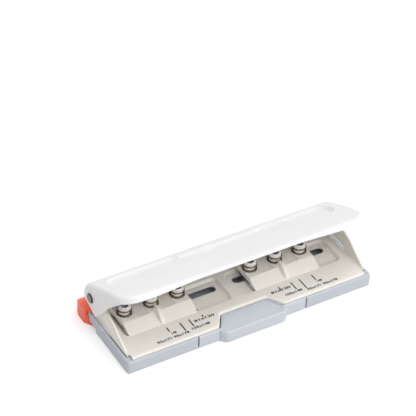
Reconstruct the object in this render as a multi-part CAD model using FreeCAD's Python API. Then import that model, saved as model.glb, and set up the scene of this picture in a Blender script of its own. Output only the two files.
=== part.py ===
import FreeCAD, Part

import math
import os

V = FreeCAD.Vector

# Six-hole punch for planner pages, in millimetres.
# X runs along the base, Y to the rear, Z up; the origin is under the middle of the base.
# The handle stands open, as the springs leave it.

# Chip tray under the base
TRAY_HALF_LENGTH = 90.0
TRAY_HALF_DEPTH = 30.0
TRAY_RIM_Z = 9.2
TRAY_WALL = 1.5
TRAY_FLOOR = 1.2
TRAY_CORNER_R = 1.8
TRAY_RIM_EDGE_R = 1.0
TRAY_BASE_EDGE_R = 0.5
LEDGE_WIDTH = 1.6
LEDGE_REACH = 3.2
LEDGE_COUNT_FRONT = 4
POST_GAP = 0.4
POST_DROP = 0.3
RECESS_LENGTH = 36.0
RECESS_DEPTH = 18.0
RECESS_HEIGHT = 3.3

# Latch strip in the front wall of the tray, with its thumb tab
LATCH_HALF_LENGTH = 39.3
LATCH_SEAM = 1.1
LATCH_FOOT_Z = 0.4
LATCH_FLOOR_GAP = 0.4
TAB_TOP_Z = 9.0
TAB_FOOT_Z = 0.5
TAB_REACH = 4.1
TAB_FRONT_HALF = 21.3
TAB_ROOT_HALF = 25.3
TAB_BACK_Y = -18.0
TAB_BACK_HALF = 16.7
TAB_WAIST_HALF = 23.6
TAB_PLATE = 1.6
TAB_WALL = 1.5
TAB_CORNER_R = 2.8
TAB_EDGE_R = 0.8
PANEL_INSET = 1.7
PANEL_DEPTH = 0.6
NIB_X = 32.0
NIB_WIDTH = 6.0
NIB_REACH = 0.8
NIB_HEIGHT = 1.4

# Pressed deck with the two cheeks
DECK_TOP_Z = 10.2
DECK_GAP = 0.3
DECK_EDGE_R = 1.9
DECK_CORNER_R = 2.4
SHEET = 1.2
SKIRT_DROP = 4.0
NOTCH_GAP = 0.45
NOTCH_MOUTH_R = 2.8
DECK_CORNER_X_CUT = 2.4
POCKET_INNER_X = 3.6
POCKET_END_GAP = 9.0
POCKET_FRONT_Y = -8.5
POCKET_REAR_Y = 13.4
POCKET_DEPTH = 2.0
POCKET_FLARE = 1.1
POCKET_CORNER_R = 3.2
SLOT_INNER_X = 6.4
SLOT_END_GAP = 3.0
SLOT_WIDTH = 6.3
PUNCH_Y = 7.0
LAND_HALF = 20.0
LAND_FRONT_Y = 17.5
LAND_REAR_Y = 23.0
LAND_RISE = 0.6
LAND_SLOPE = 3.0
LAND_CORNER_R = 2.0
CHEEK_INSET = 0.1
CHEEK_BEND_R = 1.0
CHEEK_FOLD_EDGE_R = 0.6
CHEEK_FOLD_FRONT_Y = -24.0
CHEEK_FOLD_REAR_Y = -3.6
CHEEK_TOP_R = 7.0
CHEEK_LEAVE_ANGLE = 150.0
CHEEK_LOW_POINT = (-13.7, 17.2)
CHEEK_HIGH_POINT = (0.0, 23.6)
CHEEK_TOE_RISE = 0.2
CHEEK_TOE_STEP = 0.5
CHEEK_TOE_DIRECTION = (0.85, 0.52)
CHEEK_SLOT_HEIGHT = 2.6
CHEEK_SLOT_END_Y = -2.6
FOLD_SLIT_WIDTH = 0.7
FOLD_SLIT_REACH = 0.6

# Hinge through the cheeks and the handle's flanges
HINGE_Y = 20.1
HINGE_Z = 23.3
HINGE_PIN_R = 1.9
HINGE_HEAD_R = 3.3
HINGE_HEAD_HEIGHT = 1.1
HINGE_CLEARANCE = 0.05
HINGE_INNER_HEAD_R = 2.7
HINGE_INNER_HEAD = 0.8

# Handle, a pressed steel cover
LID_SHEET = 1.4
FLANGE_GAP = 0.4
LID_TILT = 24.94
LID_LENGTH = 50.4
LID_CROWN_R = 265.0
LID_EDGE_R = 2.2
LID_CORNER_R = 13.0
LID_BOW_R = 1450.0
ROLL_Y = 17.4
ROLL_Z = 21.3
ROLL_R = 12.6
LID_OVERHANG_TURN = 1.12
BACK_EDGE_Z = 20.7
LIP_MIDDLE = 1.8
LIP_END = 4.0
LIP_MIDDLE_HALF = 38.0
LIP_END_FROM_EDGE = 21.5
LIP_BEND_R = 150.0
FLANGE_TIP = (14.0, 12.2)
FLANGE_TIP_R = 1.2
FLANGE_HEEL_Z = 18.6
FLANGE_HEEL_R = 2.6
FLANGE_REAR_Y = 29.0
FLANGE_NOSE = (8.4, 17.6)
FLANGE_KNEE_V = 20.5
FLANGE_KNEE_W = 11.6
FLANGE_SHOULDER_V = 41.0
FLANGE_BEND_R = 20.0
RELIEF_WIDTH = 0.8
RELIEF_TOP_Z = 30.2
RELIEF_SHARE = 0.35
GROOVE_END_GAP = 9.9
GROOVE_BACK_V = 4.4
GROOVE_FRONT_V = 22.6
GROOVE_JOG = 2.7
GROOVE_JOG_HALF = 28.0
GROOVE_DEPTH = 1.5
GROOVE_FLARE = 1.3
GROOVE_END_R = 7.5
GROOVE_JOG_SLANT = 4.0
GROOVE_JOG_R = 3.0

# Press bar welded under the groove
BAR_END_LAP = 3.0
BAR_EDGE_Y = 8.6
BAR_WEB = 2.0
BAR_FLANGE = 1.5
BAR_FLANGE_LENGTH = 12.0
BAR_REST_GAP = 0.12

# Lock slide inside the back of the handle
LOCK_SLOT_END_GAP = 9.6
LOCK_SLOT_LENGTH = 16.9
LOCK_SLOT_LOW_Z = 22.9
LOCK_SLOT_HIGH_Z = 26.7
LOCK_SLOT_R = 1.85
LOCK_PLATE = 2.0
LOCK_PLATE_R = 1.5
LOCK_PLATE_LAP = 0.6
LOCK_PLATE_RISE = 0.6
LOCK_TRAVEL = 5.2
LOCK_PLATE_HEIGHT = 8.6
LOCK_PLATE_GAP = 0.3
KNOB_FROM_SLOT_END = 4.8
KNOB_R = 4.8
KNOB_PROUD = 3.2
KNOB_TOP_Z = 26.2
KNOB_RIM_Z = 22.7
KNOB_FOOT_Z = 20.3
KNOB_EDGE_R = 0.7
KNOB_FLUTES = 26
KNOB_FLUTE_R = 0.34
NECK_HALF = 4.3
NECK_R = 1.2
TONGUE_HALF = 2.0

# Paper guide at the rear left corner
GUIDE_GAP = 0.3
GUIDE_WALL = 2.0
GUIDE_HOOK_LENGTH = 6.5
GUIDE_BACK = 6.2
GUIDE_FOOT_Z = 0.2
GUIDE_BACK_TOP_Z = 8.8
GUIDE_SHOULDER_Z = 12.0
GUIDE_SHOULDER_SET = 2.3
GUIDE_TOP_Z = 12.8
GUIDE_TIP_Z = 11.1
GUIDE_TIP_LENGTH = 9.5
GUIDE_WALL_BELLY = (23.9, 8.0)
GUIDE_WALL_TOE_Y = 18.3
GUIDE_ROUND_R = 2.0
GUIDE_EDGE_R = 0.6
GUIDE_ARM_TOP_Z = 3.0
GUIDE_ARM_SLANT = 6.4
GUIDE_BAR_FRONT_Y = 13.6
GUIDE_BAR_REAR_Y = 27.0
GUIDE_BAR_END_GAP = 32.0
GUIDE_TRAVEL = 20.0
GUIDE_PEG_SET = 3.5
GUIDE_PEG_R = 1.6
GUIDE_PEG_TOP = 0.4
GUIDE_WASHER_R = 3.4
GUIDE_WASHER = 0.9

# Punch carriages
CARRIAGE_X = {"left": -54.0, "right": 38.0}
CARRIAGE_HALF = 24.3
CARRIAGE_LIFT = 0.05
DIE_PLATE = 1.7
DIE_FRONT_Y = -7.9
DIE_REAR_Y = 12.9
PAPER_SLOT = 1.05
PAPER_STOP_Y = -2.6
BLOCK_TOP_Z = 14.9
BLOCK_TOE_Y = -10.2
BLOCK_TOE_Z = 10.6
BLOCK_SLOPE_TOP_Y = -1.5
BLOCK_REAR_Y = 16.5
BLOCK_EDGE_R = 0.6
BLOCK_DISH = 0.7
DISH_FRONT_Y = -0.6
DISH_REAR_Y = 13.0
DISH_INNER = 5.9
DISH_OUTER = 13.1
FIN_TOP_Z = 17.6
FIN_BACK_Y = 0.7
FIN_ROOT_HALF = 4.2
FIN_ROOT_DEPTH = 2.0
FIN_TOE_HALF = 2.0
FIN_TOE_RISE = 0.35
FIN_CREST_HALF = 1.5
FIN_CREST_DROP = 1.0
HOLE_PITCH = 19.0
DIE_HOLE_CLEARANCE = 0.05
BODY_BORE_CLEARANCE = 0.05
BODY_BORE_FLOOR_Z = 11.75
SPRING_SEAT_R = 5.15
SPRING_SEAT_Z = 12.6
KEEPER_HALF = 23.0
KEEPER_HALF_DEPTH = 8.0
KEEPER_PLATE = 1.2
KEEPER_GAP = 0.1
KEEPER_CHIP_R = 3.25
KEEPER_BOSS_R = 2.85
SCREW_SPACING = 19.0
SCREW_R = 1.5
SCREW_HEAD_R = 2.5
SCREW_HEAD_HEIGHT = 1.0

# Punch pins and their springs
PUNCH_R = 2.75
PUNCH_TIP_Z = 11.15
SLEEVE_R = 3.75
SLEEVE_FOOT_Z = 15.65
SLEEVE_RIM_R = 4.35
SLEEVE_RIM_Z = 19.3
SLEEVE_TOP_Z = 19.9
PIN_HEAD_R = 3.4
PIN_TOP_Z = 20.8
PIN_EDGE_R = 0.35
PUNCH_EDGE = 0.05
PUNCH_HOLLOW_R = 1.6
PUNCH_HOLLOW_DEPTH = 2.2
SPRING_WIRE_R = 0.4
SPRING_MEAN_R = 4.45
SPRING_END_TURNS = 0.9
SPRING_END_PITCH = 1.35
SPRING_QUARTERS = 10
SPRING_END_GAP = 0.03
SPRING_STARTS = {"left": (200.0, 235.0, 195.0), "right": (190.0, 205.0, 240.0)}

DECK_HALF_LENGTH = TRAY_HALF_LENGTH - TRAY_WALL - DECK_GAP
DECK_HALF_DEPTH = TRAY_HALF_DEPTH - TRAY_WALL - DECK_GAP
SKIRT_FOOT_Z = DECK_TOP_Z - SKIRT_DROP
POCKET_FLOOR_Z = DECK_TOP_Z - POCKET_DEPTH
DECK_UNDER_POCKET_Z = POCKET_FLOOR_Z - SHEET
CHEEK_OUTER_X = DECK_HALF_LENGTH - CHEEK_INSET
CHEEK_INNER_X = CHEEK_OUTER_X - SHEET
CHEEK_BEND_X = CHEEK_INNER_X - CHEEK_BEND_R
CHEEK_BEND_Z = DECK_TOP_Z + CHEEK_BEND_R
POCKET_OUTER_X = DECK_HALF_LENGTH - POCKET_END_GAP
SLOT_OUTER_X = POCKET_OUTER_X - SLOT_END_GAP
LID_INNER_X = CHEEK_OUTER_X + FLANGE_GAP
LID_HALF_LENGTH = LID_INNER_X + LID_SHEET
LIP_END_HALF = LID_HALF_LENGTH - LIP_END_FROM_EDGE
GROOVE_HALF = LID_HALF_LENGTH - GROOVE_END_GAP
BAR_HALF_LENGTH = SLOT_OUTER_X + BAR_END_LAP
LOCK_SLOT_RIGHT_X = LID_HALF_LENGTH - LOCK_SLOT_END_GAP
LOCK_SLOT_LEFT_X = LOCK_SLOT_RIGHT_X - LOCK_SLOT_LENGTH
LOCK_BACK_Y = ROLL_Y + ROLL_R - LID_SHEET - LOCK_PLATE_GAP
KNOB_X = LOCK_SLOT_LEFT_X + KNOB_FROM_SLOT_END
KNOB_BACK_Y = ROLL_Y + ROLL_R + LOCK_PLATE_GAP
KNOB_REACH = ROLL_Y + ROLL_R + KNOB_PROUD
GUIDE_WALL_X = -TRAY_HALF_LENGTH - GUIDE_GAP
GUIDE_LEFT_X = GUIDE_WALL_X - GUIDE_WALL
GUIDE_RIGHT_X = GUIDE_HOOK_LENGTH - TRAY_HALF_LENGTH
GUIDE_BACK_Y = TRAY_HALF_DEPTH + GUIDE_GAP
GUIDE_REAR_Y = GUIDE_BACK_Y + GUIDE_BACK
GUIDE_CREST_Y = GUIDE_BACK_Y + GUIDE_GAP
GUIDE_TIP_Y = TRAY_HALF_DEPTH - GUIDE_TIP_LENGTH
GUIDE_BAR_RIGHT_X = GUIDE_BAR_END_GAP - TRAY_HALF_LENGTH
GUIDE_PEG_X = GUIDE_BAR_RIGHT_X - GUIDE_PEG_SET
GUIDE_PEG_Y = (GUIDE_BAR_FRONT_Y + GUIDE_BAR_REAR_Y) / 2
GUIDE_WASHER_Z = RECESS_HEIGHT + TRAY_FLOOR + GUIDE_GAP / 2
DIE_BOTTOM_Z = POCKET_FLOOR_Z + CARRIAGE_LIFT
DIE_TOP_Z = DIE_BOTTOM_Z + DIE_PLATE
BLOCK_LOW_Z = DIE_TOP_Z + PAPER_SLOT
KEEPER_TOP_Z = DECK_UNDER_POCKET_Z - KEEPER_GAP
KEEPER_BOTTOM_Z = KEEPER_TOP_Z - KEEPER_PLATE
TILT = math.radians(LID_TILT)


def at_z(z):
    return lambda a, b: V(a, b, z)


def at_y(y):
    return lambda a, b: V(a, y, b)


def at_x(x):
    return lambda a, b: V(x, a, b)


def corner_cut(before, corner, after, radius):
    """Start, middle and end of the arc that rounds one corner of an outline."""
    here = V(corner[0], corner[1], 0)
    back = (V(before[0], before[1], 0) - here).normalize()
    ahead = (V(after[0], after[1], 0) - here).normalize()
    half = back.getAngle(ahead) / 2
    reach = radius / math.tan(half)
    inward = (back + ahead).normalize()
    middle = here + inward * (radius / math.sin(half) - radius)
    return here + back * reach, middle, here + ahead * reach


def outline(corners, place):
    """Closed wire through (a, b) or (a, b, radius) corners, set in space by place."""
    edges = []
    count = len(corners)
    ends = []
    for i, corner in enumerate(corners):
        if len(corner) > 2 and corner[2] > 0:
            before = corners[i - 1]
            after = corners[(i + 1) % count]
            start, middle, end = corner_cut(before, corner, after, corner[2])
            points = [place(p.x, p.y) for p in (start, middle, end)]
            edges.append(Part.Arc(*points).toShape())
            ends.append((points[0], points[2]))
        else:
            point = place(corner[0], corner[1])
            ends.append((point, point))
    for i in range(count):
        start = ends[i][1]
        end = ends[(i + 1) % count][0]
        if (end - start).Length > 1e-6:
            edges.append(Part.makeLine(start, end))
    return Part.Wire(Part.__sortEdges__(edges))


def prism(corners, place, direction):
    return Part.Face(outline(corners, place)).extrude(direction)


def block(x0, x1, y0, y1, z0, z1):
    return Part.makeBox(x1 - x0, y1 - y0, z1 - z0, V(x0, y0, z0))


def rounded_block(x0, x1, y0, y1, z0, z1, radius):
    corners = [(x0, y0, radius), (x1, y0, radius), (x1, y1, radius), (x0, y1, radius)]
    return prism(corners, at_z(z0), V(0, 0, z1 - z0))


def cylinder_z(radius, x, y, z0, z1):
    return Part.makeCylinder(radius, z1 - z0, V(x, y, z0), V(0, 0, 1))


def edges_where(shape, test):
    """Edges whose ends and middle all pass the test."""
    chosen = []
    for edge in shape.Edges:
        middle = edge.valueAt((edge.FirstParameter + edge.LastParameter) / 2)
        points = [vertex.Point for vertex in edge.Vertexes] + [middle]
        if all(test(p) for p in points):
            chosen.append(edge)
    return chosen


def near(a, b):
    return abs(a - b) < 0.001


def mirrored_x(shape):
    return shape.mirror(V(0, 0, 0), V(1, 0, 0))


def both_sides(corners):
    """Outline symmetric about the Y axis, from the corners of its right half."""
    left = [(-corner[0],) + tuple(corner[1:]) for corner in reversed(corners)]
    return list(corners) + left


# Chip tray

def tray_ledges():
    """Short ribs inside the walls that carry the deck's skirt."""
    top = SKIRT_FOOT_Z
    inner_x = TRAY_HALF_LENGTH - TRAY_WALL
    inner_y = TRAY_HALF_DEPTH - TRAY_WALL
    ribs = []
    first = LATCH_HALF_LENGTH + LATCH_SEAM + LEDGE_REACH
    span = inner_x - LEDGE_REACH - first
    for i in range(LEDGE_COUNT_FRONT):
        x = first + span * i / (LEDGE_COUNT_FRONT - 1)
        for side in (-1, 1):
            x0 = side * x - LEDGE_WIDTH / 2
            ribs.append(block(x0, x0 + LEDGE_WIDTH, -inner_y, -inner_y + LEDGE_REACH, TRAY_FLOOR, top))
            ribs.append(block(x0, x0 + LEDGE_WIDTH, inner_y - LEDGE_REACH, inner_y, TRAY_FLOOR, top))
    for y in (-inner_y / 2, 0.0):
        for x0 in (-inner_x, inner_x - LEDGE_REACH):
            ribs.append(block(x0, x0 + LEDGE_REACH, y - LEDGE_WIDTH / 2, y + LEDGE_WIDTH / 2,
                              TRAY_FLOOR, top))
    return ribs


def corner_post():
    """Solid corner of the tray in front of the right cheek, where the deck's corner is cut away."""
    x0 = DECK_HALF_LENGTH - DECK_CORNER_X_CUT + POST_GAP
    return block(x0, TRAY_HALF_LENGTH, -TRAY_HALF_DEPTH, CHEEK_FOLD_FRONT_Y - POST_GAP, 0, TRAY_RIM_Z - POST_DROP)


def guide_slot():
    """Slot in the raised floor that the paper guide's peg runs in."""
    radius = GUIDE_PEG_R + GUIDE_GAP / 2
    y = GUIDE_PEG_Y
    left = GUIDE_PEG_X - GUIDE_TRAVEL
    low = RECESS_HEIGHT - 1
    high = RECESS_HEIGHT + TRAY_FLOOR + 1
    slot = block(left, GUIDE_PEG_X, y - radius, y + radius, low, high)
    for x in (left, GUIDE_PEG_X):
        slot = slot.fuse(cylinder_z(radius, x, y, low, high))
    return slot


def chip_tray():
    length = TRAY_HALF_LENGTH
    depth = TRAY_HALF_DEPTH
    body = rounded_block(-length, length, -depth, depth, 0, TRAY_RIM_Z, TRAY_CORNER_R)
    body = body.makeFillet(TRAY_RIM_EDGE_R, edges_where(body, lambda p: near(p.z, TRAY_RIM_Z)))
    body = body.makeFillet(TRAY_BASE_EDGE_R, edges_where(body, lambda p: near(p.z, 0)))
    inner_x = length - TRAY_WALL
    inner_y = depth - TRAY_WALL
    hollow = rounded_block(-inner_x, inner_x, -inner_y, inner_y, TRAY_FLOOR, TRAY_RIM_Z + 1,
                           TRAY_CORNER_R - TRAY_WALL)
    step_x = -length + RECESS_LENGTH
    step_y = depth - RECESS_DEPTH
    raised = block(-length, step_x + TRAY_WALL, step_y - TRAY_WALL, depth, 0, RECESS_HEIGHT + TRAY_FLOOR)
    post = corner_post()
    tray = body.cut(hollow.cut([raised, post, mirrored_x(post)]))
    tray = tray.fuse([rib.cut(raised) for rib in tray_ledges()]).removeSplitter()
    recess = block(-length - 1, step_x, step_y, depth + 1, -1, RECESS_HEIGHT)
    seam = LATCH_HALF_LENGTH + LATCH_SEAM
    front = block(-seam, seam, -depth - 1, -inner_y + LATCH_FLOOR_GAP + LATCH_SEAM, -1, TRAY_RIM_Z + 1)
    return tray.cut([recess, front, guide_slot()])


# Tray latch

def tab_outline(inset):
    """Right half of the thumb tab's plan, front to back."""
    front_y = -TRAY_HALF_DEPTH - TAB_REACH
    return both_sides([
        (TAB_FRONT_HALF - inset * 0.5, front_y + inset * 1.4, TAB_CORNER_R),
        (TAB_ROOT_HALF - inset * 1.6, -TRAY_HALF_DEPTH + inset * 0.6, TAB_CORNER_R * 0.6),
        (TAB_WAIST_HALF - inset * 1.1, -TRAY_HALF_DEPTH + TRAY_WALL + inset * 0.4, TAB_CORNER_R * 0.6),
        (TAB_BACK_HALF - inset * 0.6, TAB_BACK_Y - inset, TAB_CORNER_R * 0.8),
    ])


def tray_latch():
    depth = TRAY_HALF_DEPTH
    half = LATCH_HALF_LENGTH
    inner_y = -depth + TRAY_WALL
    strip = block(-half, half, -depth, inner_y, LATCH_FOOT_Z, TRAY_RIM_Z)
    top_edge = edges_where(strip, lambda p: near(p.z, TRAY_RIM_Z) and near(p.y, -depth))
    strip = strip.makeFillet(TRAY_RIM_EDGE_R, top_edge)
    tab = prism(tab_outline(0), at_z(TAB_FOOT_Z), V(0, 0, TAB_TOP_Z - TAB_FOOT_Z))
    tab = tab.makeFillet(TAB_EDGE_R, edges_where(tab, lambda p: near(p.z, TAB_TOP_Z)))
    under = TAB_TOP_Z - TAB_PLATE
    behind = block(-half, half, inner_y, 0, 0, under)
    hollow = both_sides([
        (TAB_FRONT_HALF - TAB_WALL, -depth - TAB_REACH + TAB_WALL),
        (TAB_ROOT_HALF - 2 * TAB_WALL, -depth),
        (TAB_ROOT_HALF - 2 * TAB_WALL, inner_y),
    ])
    hollow = prism(hollow, at_z(-1), V(0, 0, under + 1))
    above = block(-TAB_FRONT_HALF, TAB_FRONT_HALF, -depth - 1, inner_y + 1, TAB_TOP_Z, TRAY_RIM_Z + 1)
    panel = prism(tab_outline(PANEL_INSET), at_z(TAB_TOP_Z - PANEL_DEPTH), V(0, 0, PANEL_DEPTH + 1))
    latch = strip.cut(above).fuse(tab).removeSplitter().cut([behind, hollow, panel])
    nib_top = SKIRT_FOOT_Z - DECK_GAP
    for side in (-1, 1):
        x = side * NIB_X
        nib = prism([(inner_y, nib_top - NIB_HEIGHT), (inner_y + NIB_REACH, nib_top - NIB_HEIGHT / 2),
                     (inner_y + NIB_REACH, nib_top), (inner_y, nib_top)],
                    at_x(x - NIB_WIDTH / 2), V(NIB_WIDTH, 0, 0))
        latch = latch.fuse(nib)
    return latch.removeSplitter()


# Deck

def deck_outline(inset):
    """Plan of the deck, with the gap in its front edge round the thumb tab."""
    x1 = DECK_HALF_LENGTH - inset
    y1 = DECK_HALF_DEPTH - inset
    corner_r = DECK_CORNER_R - inset
    slope = (TAB_WAIST_HALF - TAB_BACK_HALF) / (TAB_BACK_Y + TRAY_HALF_DEPTH - TRAY_WALL)
    wall = math.sqrt(1 + slope * slope) - slope
    back_y = TAB_BACK_Y + NOTCH_GAP + inset
    back_half = TAB_BACK_HALF + NOTCH_GAP + inset * wall
    mouth_half = back_half + slope * (back_y + y1)
    return both_sides([
        (back_half, back_y, TAB_CORNER_R + inset), (mouth_half, -y1, NOTCH_MOUTH_R - inset),
        (x1, -y1, corner_r), (x1, y1, corner_r),
    ])


def pocket_outline(grow):
    x0 = POCKET_INNER_X - grow
    x1 = POCKET_OUTER_X + grow
    y0 = POCKET_FRONT_Y - grow
    y1 = POCKET_REAR_Y + grow
    radius = POCKET_CORNER_R + grow
    return [(x0, y0, radius), (x1, y0, radius), (x1, y1, radius), (x0, y1, radius)]


def sunk_pocket(grow, low, high):
    """Tapered volume of the right pocket between two heights."""
    lower = outline(pocket_outline(grow), at_z(low))
    upper = outline(pocket_outline(grow + POCKET_FLARE * (high - low) / POCKET_DEPTH), at_z(high))
    return Part.makeLoft([lower, upper], True, True)


def rear_land(grow):
    """Low raised pad at the rear of the deck, between the two pockets."""
    foot = DECK_TOP_Z - SHEET - 1
    edge_z = DECK_TOP_Z + grow

    def ring(wide, radius):
        x0 = LAND_HALF + wide
        y0 = LAND_FRONT_Y - wide
        y1 = LAND_REAR_Y + wide
        return [(-x0, y0, radius), (x0, y0, radius), (x0, y1, radius), (-x0, y1, radius)]

    lower = ring(LAND_RISE * LAND_SLOPE + grow, LAND_CORNER_R + grow)
    upper = ring(grow, LAND_CORNER_R / 2 + grow)
    base = prism(lower, at_z(foot), V(0, 0, edge_z - foot))
    cap = Part.makeLoft([outline(lower, at_z(edge_z)), outline(upper, at_z(edge_z + LAND_RISE))], True, True)
    return base.fuse(cap)


def deck_slot(side):
    """Long hole that a carriage is screwed through."""
    low = DECK_UNDER_POCKET_Z - 1
    radius = SLOT_WIDTH / 2
    inner = side * (SLOT_INNER_X + radius)
    outer = side * (SLOT_OUTER_X - radius)
    slot = block(min(inner, outer), max(inner, outer), PUNCH_Y - radius, PUNCH_Y + radius, low, DECK_TOP_Z)
    for x in (inner, outer):
        slot = slot.fuse(cylinder_z(radius, x, PUNCH_Y, low, DECK_TOP_Z))
    return slot


def hinge_arc_point(angle):
    """Point of the cheek's round top, at an angle in degrees from straight back."""
    turn = math.radians(angle)
    return V(0, HINGE_Y + CHEEK_TOP_R * math.cos(turn), HINGE_Z + CHEEK_TOP_R * math.sin(turn))


def cheek_outline():
    """Side view of a cheek: a long rising edge, round over the hinge."""
    low = CHEEK_BEND_Z
    tip_z = low + CHEEK_TOE_RISE
    leave = math.radians(CHEEK_LEAVE_ANGLE)
    rise = [
        V(0, CHEEK_FOLD_FRONT_Y + CHEEK_TOE_STEP, tip_z),
        V(0, *CHEEK_LOW_POINT),
        V(0, *CHEEK_HIGH_POINT),
        hinge_arc_point(CHEEK_LEAVE_ANGLE),
    ]
    curve = Part.BSplineCurve()
    curve.interpolate(rise, InitialTangent=V(0, *CHEEK_TOE_DIRECTION),
                      FinalTangent=V(0, math.sin(leave), -math.cos(leave)))
    top = hinge_arc_point(90)
    rear = hinge_arc_point(0)
    slot_top = DECK_TOP_Z + CHEEK_SLOT_HEIGHT
    foot = V(0, rear.y, slot_top)
    round_r = CHEEK_SLOT_HEIGHT / 2
    lean = round_r * math.sin(math.pi / 4)
    start = V(0, CHEEK_SLOT_END_Y + round_r, slot_top)
    middle = V(0, CHEEK_SLOT_END_Y + round_r - lean, slot_top - round_r + lean)
    end = V(0, CHEEK_SLOT_END_Y, slot_top - round_r)
    fold = V(0, CHEEK_SLOT_END_Y, low)
    front = V(0, CHEEK_FOLD_FRONT_Y, low)
    tip = V(0, CHEEK_FOLD_FRONT_Y, tip_z)
    edges = [
        curve.toShape(),
        Part.Arc(rise[-1], hinge_arc_point((90 + CHEEK_LEAVE_ANGLE) / 2), top).toShape(),
        Part.Arc(top, hinge_arc_point(45), rear).toShape(),
        Part.makeLine(rear, foot),
        Part.makeLine(foot, start),
        Part.Arc(start, middle, end).toShape(),
        Part.makeLine(end, fold),
        Part.makeLine(fold, front),
        Part.makeLine(front, tip),
        Part.makeLine(tip, rise[0]),
    ]
    return Part.Wire(Part.__sortEdges__(edges))


def cheek():
    """Right cheek, folded up from the deck's end."""
    face = Part.Face(cheek_outline())
    face.translate(V(CHEEK_INNER_X, 0, 0))
    plate = face.extrude(V(SHEET, 0, 0))
    under_z = DECK_TOP_Z - SHEET
    fold = block(CHEEK_BEND_X, CHEEK_OUTER_X, CHEEK_FOLD_FRONT_Y, CHEEK_FOLD_REAR_Y, under_z, CHEEK_BEND_Z)
    outside = edges_where(fold, lambda p: near(p.x, CHEEK_OUTER_X) and near(p.z, under_z))
    fold = fold.makeFillet(CHEEK_FOLD_EDGE_R, outside)
    inside = Part.makeCylinder(CHEEK_BEND_R, CHEEK_FOLD_REAR_Y - CHEEK_FOLD_FRONT_Y,
                               V(CHEEK_BEND_X, CHEEK_FOLD_FRONT_Y, CHEEK_BEND_Z), V(0, 1, 0))
    bore = Part.makeCylinder(HINGE_PIN_R, SHEET + 2, V(CHEEK_INNER_X - 1, HINGE_Y, HINGE_Z), V(1, 0, 0))
    return plate.fuse(fold.cut(inside)).cut(bore)


def fold_relief():
    """Room at the deck's end where the right cheek leaves it, with the corner in front cut away."""
    low = SKIRT_FOOT_Z - 1
    high = DECK_TOP_Z + 1
    beyond = DECK_HALF_LENGTH + 1
    gap = block(CHEEK_BEND_X, beyond, CHEEK_FOLD_FRONT_Y, CHEEK_FOLD_REAR_Y, low, high)
    corner = block(DECK_HALF_LENGTH - DECK_CORNER_X_CUT, beyond, -DECK_HALF_DEPTH - 1, CHEEK_FOLD_FRONT_Y, low, high)
    rear = block(CHEEK_BEND_X - FOLD_SLIT_REACH, beyond, CHEEK_FOLD_REAR_Y,
                 CHEEK_FOLD_REAR_Y + FOLD_SLIT_WIDTH, low, high)
    return gap.fuse([corner, rear])


def base_deck():
    skin = prism(deck_outline(0), at_z(SKIRT_FOOT_Z), V(0, 0, SKIRT_DROP))
    skin = skin.makeFillet(DECK_EDGE_R, edges_where(skin, lambda p: near(p.z, DECK_TOP_Z)))
    under = prism(deck_outline(SHEET), at_z(SKIRT_FOOT_Z - 1), V(0, 0, SKIRT_DROP - SHEET + 1))
    under = under.makeFillet(DECK_EDGE_R - SHEET, edges_where(under, lambda p: near(p.z, DECK_TOP_Z - SHEET)))
    pocket = sunk_pocket(0, POCKET_FLOOR_Z, DECK_TOP_Z + 0.5)
    boss = sunk_pocket(SHEET * 0.8, DECK_UNDER_POCKET_Z, DECK_TOP_Z)
    under = under.cut([boss, mirrored_x(boss)])
    deck = skin.fuse(rear_land(0)).cut(under.fuse(rear_land(-SHEET)))
    deck = deck.cut([pocket, mirrored_x(pocket), deck_slot(-1), deck_slot(1),
                     fold_relief(), mirrored_x(fold_relief())])
    return deck.fuse([cheek(), mirrored_x(cheek())]).removeSplitter()


def hinge_pin(side):
    """Rivet through one flange of the handle and one cheek."""
    axis = V(1, 0, 0)
    outer_x = LID_HALF_LENGTH + HINGE_CLEARANCE
    inner_x = CHEEK_INNER_X - HINGE_INNER_HEAD
    shank = Part.makeCylinder(HINGE_PIN_R, outer_x - inner_x, V(inner_x, HINGE_Y, HINGE_Z), axis)
    head = Part.makeCylinder(HINGE_HEAD_R, HINGE_HEAD_HEIGHT, V(outer_x, HINGE_Y, HINGE_Z), axis)
    rim = edges_where(head, lambda p: near(p.x, outer_x + HINGE_HEAD_HEIGHT))
    head = head.makeFillet(HINGE_HEAD_HEIGHT * 0.6, rim)
    closing = Part.makeCylinder(HINGE_INNER_HEAD_R, HINGE_INNER_HEAD, V(inner_x, HINGE_Y, HINGE_Z), axis)
    rivet = shank.fuse([head, closing]).removeSplitter()
    return rivet if side > 0 else mirrored_x(rivet)


# Handle

def lid_frame(x, v, w):
    """Point at x along the handle, v forward from the roll's end and w below the top plane."""
    y0 = ROLL_Y + ROLL_R * math.sin(TILT)
    z0 = ROLL_Z + ROLL_R * math.cos(TILT)
    y = y0 - v * math.cos(TILT) - w * math.sin(TILT)
    z = z0 + v * math.sin(TILT) - w * math.cos(TILT)
    return V(x, y, z)


def lid_at_depth(w):
    return lambda a, b: lid_frame(a, b, w)


def lid_normal():
    return V(0, math.sin(TILT), math.cos(TILT))


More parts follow.
